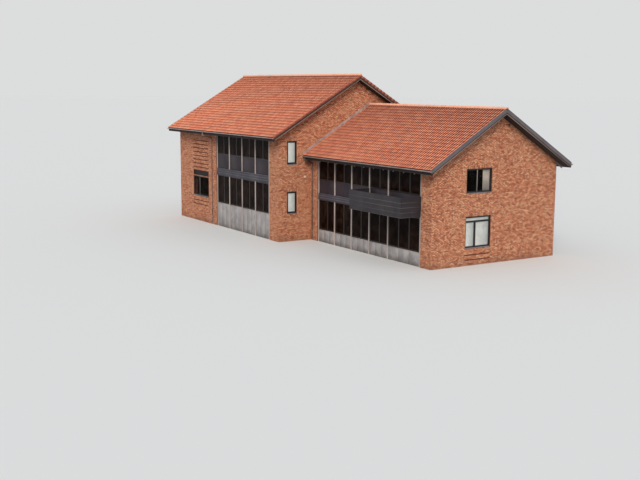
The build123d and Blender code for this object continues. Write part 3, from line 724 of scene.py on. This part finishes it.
def lofted(rings):
    """Closed solids from n x m x k x 3: each joins m rings of k points, k even, and closes
    its end rings with strips."""
    count, m, k = rings.shape[:3]
    here, after = np.arange(k), (np.arange(k) + 1) % k
    walls = [np.stack([here, after, after + k, here + k], -1) + ring * k for ring in range(m - 1)]
    j = np.arange(k // 2 - 1)
    cap = np.stack([j, j + 1, k - 2 - j, k - 1 - j], -1)
    quads = np.concatenate([*walls, cap[:, ::-1], cap + (m - 1) * k])
    return rings.reshape(count, m * k, 3), quads


def closed(name, *kinds):
    """A piece from kinds of closed solids, each a pair of points and quads. Every solid
    has a tone of its own."""
    points, faces, tone, start = [], [], [], 0
    for places, quads in kinds:
        points.append(places.reshape(-1, 3))
        faces.append(outwards(places, quads).reshape(-1, 4) + start)
        tone.append(np.repeat(draw.random(len(places)), len(quads)))
        start += places.shape[0] * places.shape[1]
    return surface(name, np.concatenate(points), np.concatenate(faces), np.concatenate(tone))


def tile_finish(name, wear, painted_shade):
    """Fired clay: each tile has its own red, with clouds of soot, and the depth attribute paints
    shade over it, most in the troughs. wear makes it paler all over, and the third argument darker,
    as painted shade."""
    material, place = new_finish(name)
    tone = place.attribute("tone")
    cloud = place.noise(2.4, 3)
    fine = place.noise(0.05, 3)
    body = (tone * 0.5 + cloud * 0.5).ramp(
        (0.0, rgb(186, 98, 74)), (0.3, rgb(230, 129, 97)), (0.65, rgb(251, 153, 115)),
        (1.0, rgb(255, 180, 142)))
    worn = (fine.between(0.42, 0.8) * 0.35 + wear).mix(body, rgb(240, 182, 152))
    darkened = (cloud.between(0.45, 0.85) * 0.25 + painted_shade).mix(worn, rgb(118, 60, 50))
    # Painted shade from the depth attribute: on the butts, in the troughs, up under the tile above,
    # towards the ridge and under the eave.
    colour = place.attribute("depth").between(0.0, 1.2).mix(darkened, rgb(54, 20, 16))
    grain = place.noise(0.008, 2)
    return close_finish(material, colour, 0.78 + grain * 0.12, grain + fine * 0.5, 0.001)


clay = tile_finish("clay_tiles", 0.0, 0.0)
for row in ("front", "rear"):
    for wing, inset in (("tall", FLANK_THICK), ("low", 0.0)):
        node = f"{wing}_{row}_tiles"
        fit(tiled(f"tiles_{wing}_{row}", node, inset), "clay_tiles", clay, node)


def flanks(slope, end, inwards):
    """Verge tiles at one end of a slope, as one profile carried up each course. It hangs a
    flange over the verge board, and the highest is mitred against the other slope's."""
    x = end + inwards * FLANK_BACK
    start = np.arange(int(slope.length / TILE_COURSE) + 1) * TILE_COURSE
    ends = np.stack([start - TILE_NOSE_LONG, start + TILE_COURSE], -1).clip(0, slope.length)
    sink = np.array([0.0, -TILE_STEP])[None, :, None]
    across_x = x + inwards * np.array([FLANK_THICK, 0, 0, 0, FLANK_ROUND, FLANK_THICK])
    across_off = np.array([-FLANK_DEEP, -FLANK_DEEP, -FLANK_DEEP / 2, FLANK_RISE - FLANK_ROUND,
                           FLANK_RISE, FLANK_RISE]) + sink
    mitre = slope.length + across_off.clip(None, 0) * slope.up[1] / abs(slope.up[0])
    return lofted(slope.place(across_x, np.minimum(ends[:, :, None], mitre), across_off))


verges = []
for row in ("front", "rear"):
    slope = Slope(f"tall_{row}_tiles")
    verges += [flanks(slope, slope.x0, 1), flanks(slope, slope.x1, -1)]
# The verge tiles are darkened by 0.7: painted shade on their flanks.
fit(closed("verge_tiles", *verges), "clay_tiles", tile_finish("verge_clay", 0.0, 0.7))


# Ridge tiles
# Half-round clay tiles along both ridges. Each has a collar at one end that covers the
# plain end of the next, and they are bedded on the tile courses of both sides.

RIDGE_LONG = 0.40
RIDGE_COLLAR = 0.120
RIDGE_BODY = 0.106
RIDGE_COLLAR_LONG = 0.055
RIDGE_CHAMFER = 0.008
RIDGE_OVERLAP = 0.030
RIDGE_DOWN = math.radians(15)
RIDGE_POINTS = 14

ridge_clay = tile_finish("ridge_clay", 0.6, 0.0)


def ridge_tiles(name, node):
    """A row of half-round tiles: rings stand at the collar's ends, past its chamfer and at
    the plain end, and each is an arc, y and z going by the cosine and sine of its angle."""
    low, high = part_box(node)
    centre_y, centre_z = (low.y + high.y) / 2, high.z - RIDGE_COLLAR
    count = round((high.x - low.x) / RIDGE_LONG)
    long = (high.x - low.x) / count
    angle = np.linspace(-RIDGE_DOWN, math.pi + RIDGE_DOWN, RIDGE_POINTS)
    along = np.array([0, RIDGE_COLLAR_LONG, RIDGE_COLLAR_LONG + RIDGE_CHAMFER,
                      long + RIDGE_OVERLAP])
    radius = np.array([RIDGE_COLLAR, RIDGE_COLLAR, RIDGE_BODY, RIDGE_BODY])
    x = (low.x + np.arange(count)[:, None] * long + along).clip(None, high.x)[:, :, None]
    y = centre_y + radius[:, None] * np.cos(angle)
    z = centre_z + radius[:, None] * np.sin(angle)
    x, y, z = np.broadcast_arrays(x, y, z)
    piece = closed(name, lofted(np.stack([x, y, z], -1)))
    return fit(piece, "clay_tiles", ridge_clay, node)


ridge_tiles("ridge_tall", "tall_ridge_tiles")
ridge_tiles("ridge_low", "low_ridge_tiles")


# Verges, eaves and soffits
# Painted boards close the verges, with a lighter strip under them over the deck's edge.
# Planks 95 mm wide, stained dark, line the underside of every overhang.

PLANK_WIDE = 0.095
PLANK_GAP = 0.007
PLANK_PITCH = PLANK_WIDE + PLANK_GAP
PLANK_THICK = 0.014
PLANK_ARRIS = 0.003
STRIP_HIGH = 0.040
STRIP_THICK = 0.020
PICKED = np.array([0, 0, 0, 0, 1, 1, 1, 1])
SHIFTED = np.array([1, 0, 0, 1, -1, 0, 0, -1])


def bars(low, high, axis, arris):
    """Chamfered bars between pairs of corners, n x 3 each, that run along one axis."""
    b, c = [other for other in range(3) if other != axis]
    low, high = np.atleast_2d(low).astype(float), np.atleast_2d(high).astype(float)
    ring = np.zeros((len(low), 2, 8, 3))
    ring[:, 0, :, axis] = low[:, axis, None]
    ring[:, 1, :, axis] = high[:, axis, None]
    pick_c = np.array([0, 0, 1, 1, 1, 1, 0, 0])
    in_c = np.array([0, 1, -1, 0, 0, -1, 1, 0])
    for other, pick, shift in ((b, PICKED, SHIFTED), (c, pick_c, in_c)):
        chosen = np.where(pick, high[:, other, None], low[:, other, None]) + arris * shift
        ring[:, :, :, other] = chosen[:, None]
    return lofted(ring)


def sloping(slope, x0, x1, s0, s1, off0, off1, arris):
    """Chamfered bars that lie on a slope, cut plumb where they reach the ridge; x and s are
    rows of starts and ends."""
    x0, x1, s0, s1 = np.broadcast_arrays(*(np.atleast_1d(each) for each in (x0, x1, s0, s1)))
    x = x0[:, None] + (x1 - x0)[:, None] * PICKED + SHIFTED * arris
    rising = [off0, off0 + arris, off1 - arris, off1]
    off = np.array([*rising, *rising[::-1]])
    s = np.stack([s0, s1], -1)[:, :, None]
    ridge = slope.length + off * slope.up[1] / abs(slope.up[0])
    return lofted(slope.place(x[:, None, :], np.minimum(s, ridge), off))


def paint_finish(name, light, dark, rough, streak):
    """Brushed paint on boards: a little sun-bleached, with dirt run down in streaks."""
    material, place = new_finish(name)
    cloud = place.noise(0.8, 3)
    run = place.stretched(1, 1, 0.12).noise(0.07, 3)
    tone = place.attribute("tone")
    body = (cloud * 0.6 + tone * 0.4).mix(dark, light)
    colour = (run.between(0.5, 0.78) * streak).mix(body, rgb(58, 52, 48))
    grain = place.noise(0.01, 2)
    return close_finish(material, colour, grain * 0.15 + rough, grain, 0.0006)


soffit_paint = paint_finish("soffit_stain", rgb(52, 40, 36), rgb(32, 25, 24), 0.75, 0.3)
# The tall verge boards are brown, painted darker still as the shade under the tile flanks.
brown_board = paint_finish("brown_verge_paint", rgb(92, 68, 58), rgb(66, 48, 42), 0.6, 0.3)
light_board = paint_finish("light_verge_paint", rgb(168, 148, 136), rgb(136, 118, 108), 0.6, 0.3)
slate_board = paint_finish("verge_paint", rgb(134, 124, 126), rgb(86, 80, 84), 0.55, 0.5)
rafter_paint = paint_finish("rafter_timber", rgb(170, 160, 152), rgb(120, 110, 104), 0.7, 0.3)

free_gables = {"tall": (left_gable, middle_gable), "low": (right_gable,)}
planks, light_strips = [], []
for wing in ("tall", "low"):
    for row, wall in zip(("front", "rear"), sides[wing]):
        deck = f"{wing}_{row}_roof_deck"
        slope = Slope(f"{wing}_{row}_tiles")
        deck_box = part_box(deck)
        deck_y = deck_box[wall.front].y
        deck_s, wall_s = slope.reach(deck_y), slope.reach(wall.at)
        drop = slope.eave[1] + deck_s * slope.up[1] - heights_at(deck, deck_y).min()
        top = -drop * abs(slope.up[0])
        foot = top - PLANK_THICK
        count = int((wall_s - deck_s) / PLANK_PITCH)
        s = deck_s + np.arange(count)[:, None] * PLANK_PITCH + PLANK_WIDE * PICKED
        rising = [0, PLANK_ARRIS, PLANK_THICK, PLANK_THICK]
        off = foot + np.array([*rising, *rising[::-1]])
        x = np.array([[deck_box[0].x], [deck_box[1].x]])
        planks.append(lofted(slope.place(x, (s + SHIFTED * PLANK_ARRIS)[:, None, :], off)))
        for gable in free_gables[wing]:
            edge, side = deck_box[gable.front].x, gable.outward
            count = int(abs(edge - gable.at) / PLANK_PITCH)
            x0 = gable.at + side * (PLANK_GAP + np.arange(count) * PLANK_PITCH)
            x0, x1 = np.sort([x0, x0 + side * PLANK_WIDE], 0)
            planks.append(sloping(slope, x0, x1, wall_s, slope.length, foot, top, PLANK_ARRIS))
            x0, x1 = sorted((edge, edge + side * STRIP_THICK))
            light_strips.append(sloping(slope, x0, x1, deck_s, slope.length, foot,
                                        foot + STRIP_HIGH, PLANK_ARRIS))
        repaint(soffit_paint, deck)
fit(closed("soffit_planks", *planks), "roof_timber", soffit_paint)
fit(closed("verge_strips", *light_strips), "light_verge_paint", light_board)
repaint(brown_board, "tall_verge_boards")
repaint(slate_board, "low_verge_boards")
repaint(rafter_paint, "rafter_feet")


# Gutters and downpipes
# Half-round zinc gutters, soldered at the ends, hang in strap brackets and have a rolled
# front edge. The downpipes are joined by sockets, and clipped to the wall.

BRACKET_SPACING = 0.83
BRACKET_WIDE = 0.030
BRACKET_THICK = 0.004
BRACKET_FROM = math.radians(-158)
BRACKET_TO = math.radians(-22)
BRACKET_POINTS = 9
BEAD_RADIUS = 0.008
BEAD_POINTS = 8
SOCKET_LONG = 0.070
SOCKET_RADIUS = 0.052
SOCKET_POINTS = 16
SOCKET_HEIGHTS = (0.55, 2.35, 4.15)
PIPE_OFF_WALL = 0.070
LOW_SHADE_FROM = 1.4
LOW_SHADE_FULL = 1.5


def bent(x0, x1, y, z, radius):
    """Straps bent round a gutter, from rows of starts and ends along x: the inner and the
    outer line of each go by the cosine and sine of an angle below the gutter's middle."""
    angle = np.linspace(BRACKET_FROM, BRACKET_TO, BRACKET_POINTS)
    inner, outer = (np.stack([y + line * np.cos(angle), z + line * np.sin(angle)], -1)
                    for line in (radius, radius + BRACKET_THICK))
    rings = np.zeros((len(x0), BRACKET_POINTS, 4, 3))
    for corner, (x, line) in enumerate(((x0, inner), (x1, inner), (x1, outer), (x0, outer))):
        rings[:, :, corner, 0] = x[:, None]
        rings[:, :, corner, 1:] = line
    return lofted(rings)


def rod(start, end, radius, points):
    """A round bar between two places, along x or z: a circle at each end."""
    angle = np.arange(points) * 2 * math.pi / points
    ends = np.array([start, end], float)[:, None, :]
    axis = int(np.argmax(np.abs(ends[1, 0] - ends[0, 0])))
    ring = np.zeros((points, 3))
    b, c = [other for other in range(3) if other != axis]
    ring[:, b], ring[:, c] = radius * np.cos(angle), radius * np.sin(angle)
    return lofted((ends + ring)[None])


def zinc_finish(name, colour, dirt, low_wing_shade):
    """Weathered zinc: a dull grey bloom over brighter metal, with dark runs. Painted shade darkens
    the faces that look down, and mixes the zinc towards dark brown on the low wing."""
    material, place = new_finish(name)
    bloom = place.noise(0.35, 4)
    run = place.stretched(1, 1, 0.1).noise(0.05, 3)
    body = bloom.between(0.3, 0.7).mix(rgb(*(0.78 * part for part in colour)), rgb(*colour))
    shade = (run.between(0.5, 0.8) * dirt).mix(body, rgb(60, 55, 52))
    # Painted shade: towards the low wing the zinc turns dark brown.
    brown = (place.part("X").between(LOW_SHADE_FROM, LOW_SHADE_FULL) * low_wing_shade).mix(shade, rgb(92, 66, 58))
    # Painted shade on the undersides, where faces look down.
    downwards = 0 - place.node("ShaderNodeNewGeometry", {}, {}, 1).part("Z")
    darkened = (downwards.between(0.4, 0.8) * 0.85).mix(brown, rgb(44, 36, 34))
    return close_finish(material, darkened, bloom * 0.2 + 0.42, bloom, 0.0008, Metallic=0.3)


zinc = zinc_finish("zinc", (204, 182, 176), 0.4, 0.1)
pipe_zinc = zinc_finish("pipe_zinc", (158, 142, 136), 0.75, 0.6)
straps = []
for low, high in blocks("gutters"):
    middle_y, radius = (low[1] + high[1]) / 2, (high[1] - low[1]) / 2
    count = int((high[0] - low[0]) / BRACKET_SPACING)
    x0 = low[0] + (np.arange(count) + 0.5) * (high[0] - low[0]) / count
    straps.append(bent(x0, x0 + BRACKET_WIDE, middle_y, high[2], radius))
    front = high[1] - BEAD_RADIUS if middle_y > 0 else low[1] + BEAD_RADIUS
    ends = [(x, front, high[2]) for x in (low[0], high[0])]
    straps.append(rod(*ends, BEAD_RADIUS, BEAD_POINTS))
for low, high in blocks("downpipes"):
    x = (low[0] + high[0]) / 2
    wall = high[1] if high[1] < 0 else low[1]
    y = wall + (PIPE_OFF_WALL if wall > 0 else -PIPE_OFF_WALL)
    for z in SOCKET_HEIGHTS:
        straps.append(rod((x, y, z), (x, y, z + SOCKET_LONG), SOCKET_RADIUS, SOCKET_POINTS))
fit(closed("gutter_straps", *straps), "zinc", zinc)
repaint(zinc, "gutters", "roof_flashing")
repaint(pipe_zinc, "downpipes")


# Windows
# Dark painted frames carry sashes with a glazing bead round every pane. The bays have dark, nearly
# opaque glass, painted shade for the dark rooms behind it; the windows in the brick have clear
# glass, and slate sills under them.

SASH_WIDE = 0.032
SASH_DEEP = 0.016
SLIT_SASH_WIDE = 0.050
BEAD = 0.006


def drawn_in(spans, inset):
    """Along and up for the four corners of each span, from the lower left one round, moved
    in by every inset: two arrays of spans x 4 x insets."""
    left, right, bottom, top = np.asarray(spans).T[:, :, None]
    a = np.stack([left + inset, right - inset, right - inset, left + inset], 1)
    z = np.stack([bottom + inset, bottom + inset, top - inset, top - inset], 1)
    return a, z


def sashes(face, wide, node):
    """A closed ring round each pane of a CAD node in the face: a profile of five points,
    chamfered towards the glass, is carried round the four corners."""
    panes = face.solids(node)
    inset = np.array([0, 0, wide - BEAD, wide, wide])
    out = face.stand_off(panes[0]) + np.array([0, SASH_DEEP, SASH_DEEP, SASH_DEEP - BEAD, 0])
    a, z = drawn_in([face.span(pane) for pane in panes], inset)
    k = len(inset)
    corner, here = np.arange(4)[:, None] * k, np.arange(k)
    following, after = (corner + k) % (4 * k), (here + 1) % k
    quads = np.stack([corner + here, corner + after, following + after, following + here], -1)
    return face.place(a, out, z).reshape(len(panes), 4 * k, 3), quads.reshape(-1, 4)


def frame_finish():
    """Near-black satin paint with patches of dust."""
    material, place = new_finish("dark_frames")
    cloud = place.noise(0.25, 3)
    dust = cloud.between(0.5, 0.85) * 0.3
    colour = dust.mix(rgb(34, 28, 28), rgb(84, 76, 72))
    return close_finish(material, colour, cloud * 0.2 + 0.4, cloud, 0.0004)


def glass_finish(name, tint_and_room_shade, alpha):
    """Glass with a faint, cloudy film of dust."""
    material, place = new_finish(name)
    film = place.noise(0.5, 3)
    colour = (film.between(0.35, 0.8) * 0.3).mix(tint_and_room_shade, rgb(84, 64, 54))
    return close_finish(material, colour, film * 0.1 + 0.06, Alpha=alpha,
                        Specular_IOR_Level=0.02)


dark_frame = frame_finish()
# The bay glass is nearly opaque and dark: painted shade for the rooms behind it.
bay_glass = glass_finish("bay_glass", rgb(26, 16, 13), 0.95)
wall_glass = glass_finish("wall_glass", rgb(40, 42, 40), 0.12)
for wing in ("tall", "low"):
    rings = [sashes(side, SASH_WIDE, f"{wing}_window_glass") for side in sides[wing]]
    fit(closed(f"sashes_{wing}", *rings), "dark_frames", dark_frame)
    repaint(dark_frame, f"{wing}_window_frames")
    repaint(bay_glass, f"{wing}_window_glass")
rings = [sashes(face, wide, "wall_window_glass")
         for wide, faces in ((SLIT_SASH_WIDE, (left_gable, middle_gable)),
                             (SASH_WIDE, (right_gable, *sides["tall"])))
         for face in faces]
fit(closed("sashes_wall", *rings), "dark_frames", dark_frame)
repaint(dark_frame, "wall_window_frames", "louvres")
repaint(wall_glass, "wall_window_glass")


# Blinds
# Aluminium slats on the room side of the gable windows: level white slats in the narrow
# windows and the lower gable window, upright beige ones in the right light of the upper one.

SLAT_PITCH = 0.048
SLAT_WIDE = 0.050
SLAT_THICK = 0.0016
SLAT_TILT = math.radians(68)
SLAT_BEHIND = 0.060
UPRIGHT_PITCH = 0.085
UPRIGHT_WIDE = 0.089
UPRIGHT_TILT = math.radians(24)
UPRIGHT_FROM = 0.53
BLIND_GLOW = (0.84, 0.88, 0.84, 1)
WHITE_GLOW = 0.40
BEIGE_GLOW = 0.12


def slats(face, pane, start, tilt, wide, upright):
    """Flat slats behind a pane, four points at each end. A slat's width is turned by tilt
    about its middle: the sine goes along start, and the cosine towards the glass."""
    left, right, bottom, top = face.span(pane)
    shift = np.array([-1, 1, 1, -1]) * wide / 2
    thick = np.array([-1, -1, 1, 1]) * SLAT_THICK / 2
    out = face.stand_off(pane, behind=1) - SLAT_BEHIND + shift * math.cos(tilt) + thick
    across = start[:, None] + shift * math.sin(tilt)
    if upright:
        ends = [face.place(across, out, z) for z in (bottom, top)]
    else:
        ends = [face.place(np.full(across.shape, a), out, across) for a in (left, right)]
    return lofted(np.stack(ends, 1))


def level_blind(face, pane):
    """Level slats a pitch apart, from half a pitch over the foot of the pane."""
    bottom, top = face.span(pane)[2:]
    start = np.arange(bottom + SLAT_PITCH / 2, top, SLAT_PITCH)
    return slats(face, pane, start, SLAT_TILT, SLAT_WIDE, False)


def upright_blind(face, pane):
    """Upright slats a pitch apart, drawn over the right part of the pane."""
    left, right = face.span(pane)[:2]
    start = np.arange(left + UPRIGHT_FROM * (right - left), right, UPRIGHT_PITCH)
    return slats(face, pane, start, math.pi / 2 - UPRIGHT_TILT, UPRIGHT_WIDE, True)


def blind_finish(name, light, dark, glow):
    """Enamel, a little duller where sun and dust have been at it, with a painted glow for the
    daylight that falls on it through the glass.
    """
    material, place = new_finish(name)
    cloud = place.noise(0.4, 2)
    colour = cloud.between(0.3, 0.8).mix(light, dark)
    return close_finish(material, colour, cloud * 0.1 + 0.5, Emission_Color=BLIND_GLOW,
                        Emission_Strength=glow)


upper_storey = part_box("low_upper_floor")[1].z
gable_panes = sorted(right_gable.solids("wall_window_glass"),
                     key=lambda pane: (pane[0][2], pane[0][1]))
upper_panes = [pane for pane in gable_panes if pane[0][2] > upper_storey]
blinds = [level_blind(right_gable, pane) for pane in gable_panes if pane[0][2] < upper_storey]
blinds += [level_blind(middle_gable, pane) for pane in middle_gable.solids("wall_window_glass")]
fit(closed("window_blinds", *blinds), "lamp_white",
    blind_finish("white_blinds", rgb(232, 232, 226), rgb(206, 204, 196), WHITE_GLOW))
fit(closed("upright_blind", upright_blind(right_gable, upper_panes[-1])), "lamp_white",
    blind_finish("beige_blind", rgb(208, 190, 172), rgb(172, 156, 138), BEIGE_GLOW))


# Posts, panels and bands of the glazed bays
# Light grey posts stand free in front of dark blue-grey sheet cassettes, pale base panels
# and a folded slate-blue band with a lighter capping over each of its steps.

CASSETTE_GAP = 0.012
CASSETTE_DEEP = 0.014
CASSETTE_ARRIS = 0.005
BOARD_COUNT = 3
BOARD_GAP = 0.006


def cassettes(face, node, columns, gap):
    """Shallow trays side by side on the front of each panel of a CAD node in the face. A
    tray is three rings of its four corners: the back, the front edge and its chamfer."""
    trays, fronts = [], []
    for solid in face.solids(node):
        left, right, bottom, top = face.span(solid)
        wide = (right - left) / columns
        for column in range(columns):
            trays.append((left + column * wide + gap, left + (column + 1) * wide - gap,
                          bottom + gap, top - gap))
            fronts.append(face.stand_off(solid))
    a, z = drawn_in(trays, np.array([0, 0, CASSETTE_ARRIS]))
    deep = np.array([0, CASSETTE_DEEP - CASSETTE_ARRIS, CASSETTE_DEEP])
    rings = face.place(a, np.array(fronts)[:, None, None] + deep, z)
    return lofted(rings.swapaxes(1, 2))


def sheet_finish(name, light, dark, rough):
    """Factory-painted sheet, faded in clouds, with faint runs of dirt down it."""
    material, place = new_finish(name)
    cloud = place.noise(1.3, 3)
    run = place.stretched(1, 1, 0.08).noise(0.05, 3)
    body = cloud.between(0.25, 0.75).mix(dark, light)
    colour = (run.between(0.55, 0.85) * 0.3).mix(body, rgb(50, 44, 42))
    return close_finish(material, colour, cloud * 0.15 + rough, cloud, 0.0004,
                        Specular_IOR_Level=0.25)


def stained_finish():
    """Pale panels with blotches and rubbed patches, darker with damp at the foot."""
    material, place = new_finish("pale_panels")
    cloud = place.noise(0.5, 4)
    patch = place.stretched(1, 1, 0.6).noise(0.22, 3)
    body = cloud.between(0.3, 0.7).mix(rgb(150, 145, 145), rgb(174, 170, 168))
    marked = (patch.between(0.56, 0.72) * 0.3).mix(body, rgb(104, 100, 108))
    damp = 1 - (place.part("Z") + cloud * 0.3).between(0.1, 0.55)
    colour = (damp * 0.6).mix(marked, rgb(92, 78, 66))
    return close_finish(material, colour, cloud * 0.2 + 0.55, patch, 0.0006)


spandrel = sheet_finish("blue_grey_panels", rgb(61, 54, 61), rgb(42, 37, 43), 0.45)
slate = sheet_finish("slate_bands", rgb(80, 77, 85), rgb(58, 56, 64), 0.42)
post_paint = sheet_finish("post_grey", rgb(200, 186, 178), rgb(172, 158, 152), 0.45)
pale = stained_finish()
for wing in ("tall", "low"):
    panels, bases = f"{wing}_spandrel_panels", f"{wing}_base_panels"
    upper = [cassettes(side, panels, 1, CASSETTE_GAP) for side in sides[wing]]
    fit(closed(f"cassettes_{wing}", *upper), "blue_grey_panels", spandrel)
    lower = [cassettes(side, bases, BOARD_COUNT, BOARD_GAP) for side in sides[wing]]
    fit(closed(f"base_boards_{wing}", *lower), "pale_panels", pale)
    repaint(spandrel, panels)
    repaint(pale, bases)
    repaint(post_paint, f"{wing}_posts")
repaint(slate, "floor_bands")


# Balcony
# A welded steel channel carries the floor. Its parapet is dark sheet with two lighter strips along
# it and a dark one over each joint. A lighter strip runs along both flanges of the channel.

STRIP_OUT = 0.010
STRIP_WIDE = 0.030
STRIP_ARRIS = 0.003
JOINT_SPACING = 1.05
STRIP_RISES = (0.30, 0.62)
FLANGE_LINE = 0.024
RAIL_HIGH = 0.04

parapet_paint = sheet_finish("balcony_parapet", rgb(66, 62, 66), rgb(50, 47, 51), 0.45)
strip_paint = sheet_finish("balcony_strips", rgb(106, 100, 103), rgb(80, 75, 79), 0.5)


def round_balcony(node, z, high, out):
    """Three bars from z to z + high round the open sides of a CAD node. The side ones butt
    against the front one."""
    low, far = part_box(node)
    wall_y = sides["low"][0].at
    lines = (((low.x - out, low.y - out), (far.x + out, low.y), 0),
             ((low.x - out, low.y), (low.x, wall_y), 1),
             ((far.x, low.y), (far.x + out, wall_y), 1))
    return [bars((*start, z), (*end, z + high), axis, STRIP_ARRIS) for start, end, axis in lines]


low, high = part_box("balcony_parapet")
strips = []
for rise in STRIP_RISES:
    z = low.z + rise * (high.z - low.z)
    strips += round_balcony("balcony_parapet", z, STRIP_WIDE, STRIP_OUT)
tray_low, tray_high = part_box("balcony_floor")
for z in (tray_low.z, tray_high.z - FLANGE_LINE):
    strips += round_balcony("balcony_floor", z, FLANGE_LINE, STRIP_OUT / 2)
fit(closed("balcony_strips", *strips), "blue_grey_panels", strip_paint)

count = int((high.x - low.x) / JOINT_SPACING)
joints = np.tile((low.x, low.y - STRIP_OUT / 2, low.z), (count, 1))
joints[:, 0] += (np.arange(count) + 0.5) * (high.x - low.x) / count
joint_ends = joints + (STRIP_WIDE, STRIP_OUT / 2, high.z - RAIL_HIGH - low.z)
fit(closed("balcony_joints", bars(joints, joint_ends, 2, STRIP_ARRIS / 2)), "blue_grey_panels",
    parapet_paint)
repaint(parapet_paint, "balcony_parapet", "balcony_floor")


# Bars and strips of the glazing
# Thin light grey strips run up the mullions of the single windows as their painted highlight, a
# pale strip lies at the foot of the ground-floor glazing, and light capping strips, painted as the
# highlight on each step's top edge, edge the steps of the bands.

COVER_WIDE = 0.030
COVER_OUT = 0.008
FOOT_HIGH = 0.030
FOOT_PROUD = 0.012
CAP_HIGH = 0.010
CAP_OUT = 0.005
WIDEST_BAR = 0.2
LEAST_STEP = 0.001


def mullion_highlights(face, panes):
    """The two corners of a light strip up the bar between each pane and the next beside it: a
    painted highlight on the mullion.
    """
    found = []
    for pane in panes:
        _, right, bottom, top = face.span(pane)
        front = face.stand_off(pane) + SASH_DEEP
        for other in panes:
            next_left, _, next_bottom, _ = face.span(other)
            beside = abs(next_bottom - bottom) < SAME_EDGE
            if beside and 0 < next_left - right < WIDEST_BAR:
                a = (next_left + right) / 2 + np.array([-0.5, 0.5]) * COVER_WIDE
                ends = face.place(a, (front, front + COVER_OUT), (bottom, top))
                found.append((ends.min(0), ends.max(0)))
    return found


def bars_between(name, corner_pairs, axis, arris):
    """A piece of chamfered bars along one axis, one between each pair of corners."""
    low, high = np.swapaxes(corner_pairs, 0, 1)
    return closed(name, bars(low, high, axis, arris))


covers = mullion_highlights(right_gable, upper_panes)
for side in sides["tall"]:
    covers += mullion_highlights(side, side.solids("wall_window_glass"))
fit(bars_between("mullion_highlights", covers, 2, STRIP_ARRIS / 2), "post_grey", post_paint)

feet = []
for wing in ("tall", "low"):
    for side in sides[wing]:
        for solid in side.solids(f"{wing}_base_panels"):
            left, right, _, top = side.span(solid)
            y = solid[side.front][1] + side.outward * CASSETTE_DEEP
            y0, y1 = sorted((y, y + side.outward * FOOT_PROUD))
            feet.append(((left, y0, top - FOOT_HIGH), (right, y1, top)))
fit(bars_between("glazing_feet", feet, 0, STRIP_ARRIS), "post_grey", post_paint)

caps = []
band_corners = corners("floor_bands")
for low, high in blocks("floor_bands"):
    back = high[1] if low[1] + high[1] < 0 else low[1]
    inside = (band_corners > low - LEAST_STEP) & (band_corners < high + LEAST_STEP)
    own = band_corners[inside.all(1)]
    for y in np.unique(np.round(own[:, 1], 4)):
        if abs(y - back) > LEAST_STEP:
            top = own[np.abs(own[:, 1] - y) < LEAST_STEP, 2].max()
            caps.append(((low[0], y - CAP_OUT, top - CAP_HIGH),
                         (high[0], y + CAP_OUT, top + CAP_HIGH / 2)))
# The caps are painted light grey, as the highlight along the top edge of each step of the bands.
cap_highlight_paint = sheet_finish("band_cap_highlights", rgb(140, 142, 150), rgb(108, 110, 120), 0.45)
fit(bars_between("band_cap_highlights", caps, 0, STRIP_ARRIS / 2), "slate_bands", cap_highlight_paint)


# Gable vent
# A cast-iron grating over the hole that airs the low roof: upright bars between two rails,
# as high as two courses, screwed to the bricks of the low gable.

VENT_MIDDLE_Y = 2.13
VENT_COURSE = 110
VENT_WIDE = 0.215
VENT_BAR = 0.010
VENT_BAR_COUNT = 8
VENT_OUT = 0.012
VENT_BAR_OUT = 0.0096
VENT_ARRIS = 0.0015

vent_low = np.array([right_gable.at + BRICK_PROUD - BRICK_SUNK, VENT_MIDDLE_Y - VENT_WIDE / 2,
                     VENT_COURSE * BRICK_COURSE + JOINT / 2])
vent_high = vent_low + (VENT_OUT, VENT_WIDE, 2 * BRICK_COURSE - JOINT)
bar_low = np.tile(vent_low + (0, 0, VENT_BAR), (VENT_BAR_COUNT, 1))
bar_low[:, 1] = np.linspace(vent_low[1] + VENT_BAR, vent_high[1] - 2 * VENT_BAR, VENT_BAR_COUNT)
bar_high = bar_low + (VENT_BAR_OUT, VENT_BAR, vent_high[2] - vent_low[2] - 2 * VENT_BAR)
rails = [bars((*vent_low[:2], z), (*vent_high[:2], z + VENT_BAR), 1, VENT_ARRIS)
         for z in (vent_low[2], vent_high[2] - VENT_BAR)]
vent_paint = sheet_finish("vent_paint", rgb(70, 34, 28), rgb(40, 20, 18), 0.6)
fit(closed("gable_vent", bars(bar_low, bar_high, 2, VENT_ARRIS), *rails), "dark_frames",
    vent_paint)


# Floors, sills and lamp
# Plain concrete floors show behind the glass. The sills of the brick windows are split
# slate, and a round lamp of opal glass is fixed to the tall gable.

def mineral_finish(name, light, dark, lump, rough):
    """Stone or concrete: mottled in two sizes and matt."""
    material, place = new_finish(name)
    cloud, grain = place.noise(lump, 4), place.noise(0.012, 3)
    colour = (cloud * 0.7 + grain * 0.3).between(0.3, 0.7).mix(dark, light)
    return close_finish(material, colour, grain * 0.15 + rough, grain, 0.0008)


concrete = mineral_finish("concrete", rgb(150, 146, 140), rgb(118, 114, 108), 0.6, 0.8)
slate_sill = mineral_finish("sill_stone", rgb(140, 136, 136), rgb(98, 94, 96), 0.15, 0.55)
opal, place = new_finish("opal_glass")
close_finish(opal, place.noise(0.05).mix(rgb(240, 212, 184), rgb(216, 180, 152)), 0.3,
             Coat_Weight=0.4)
repaint(opal, "wall_lamp")
repaint(concrete, "tall_ground_floor", "tall_upper_floor", "low_ground_floor", "low_upper_floor")
repaint(slate_sill, "window_sills")
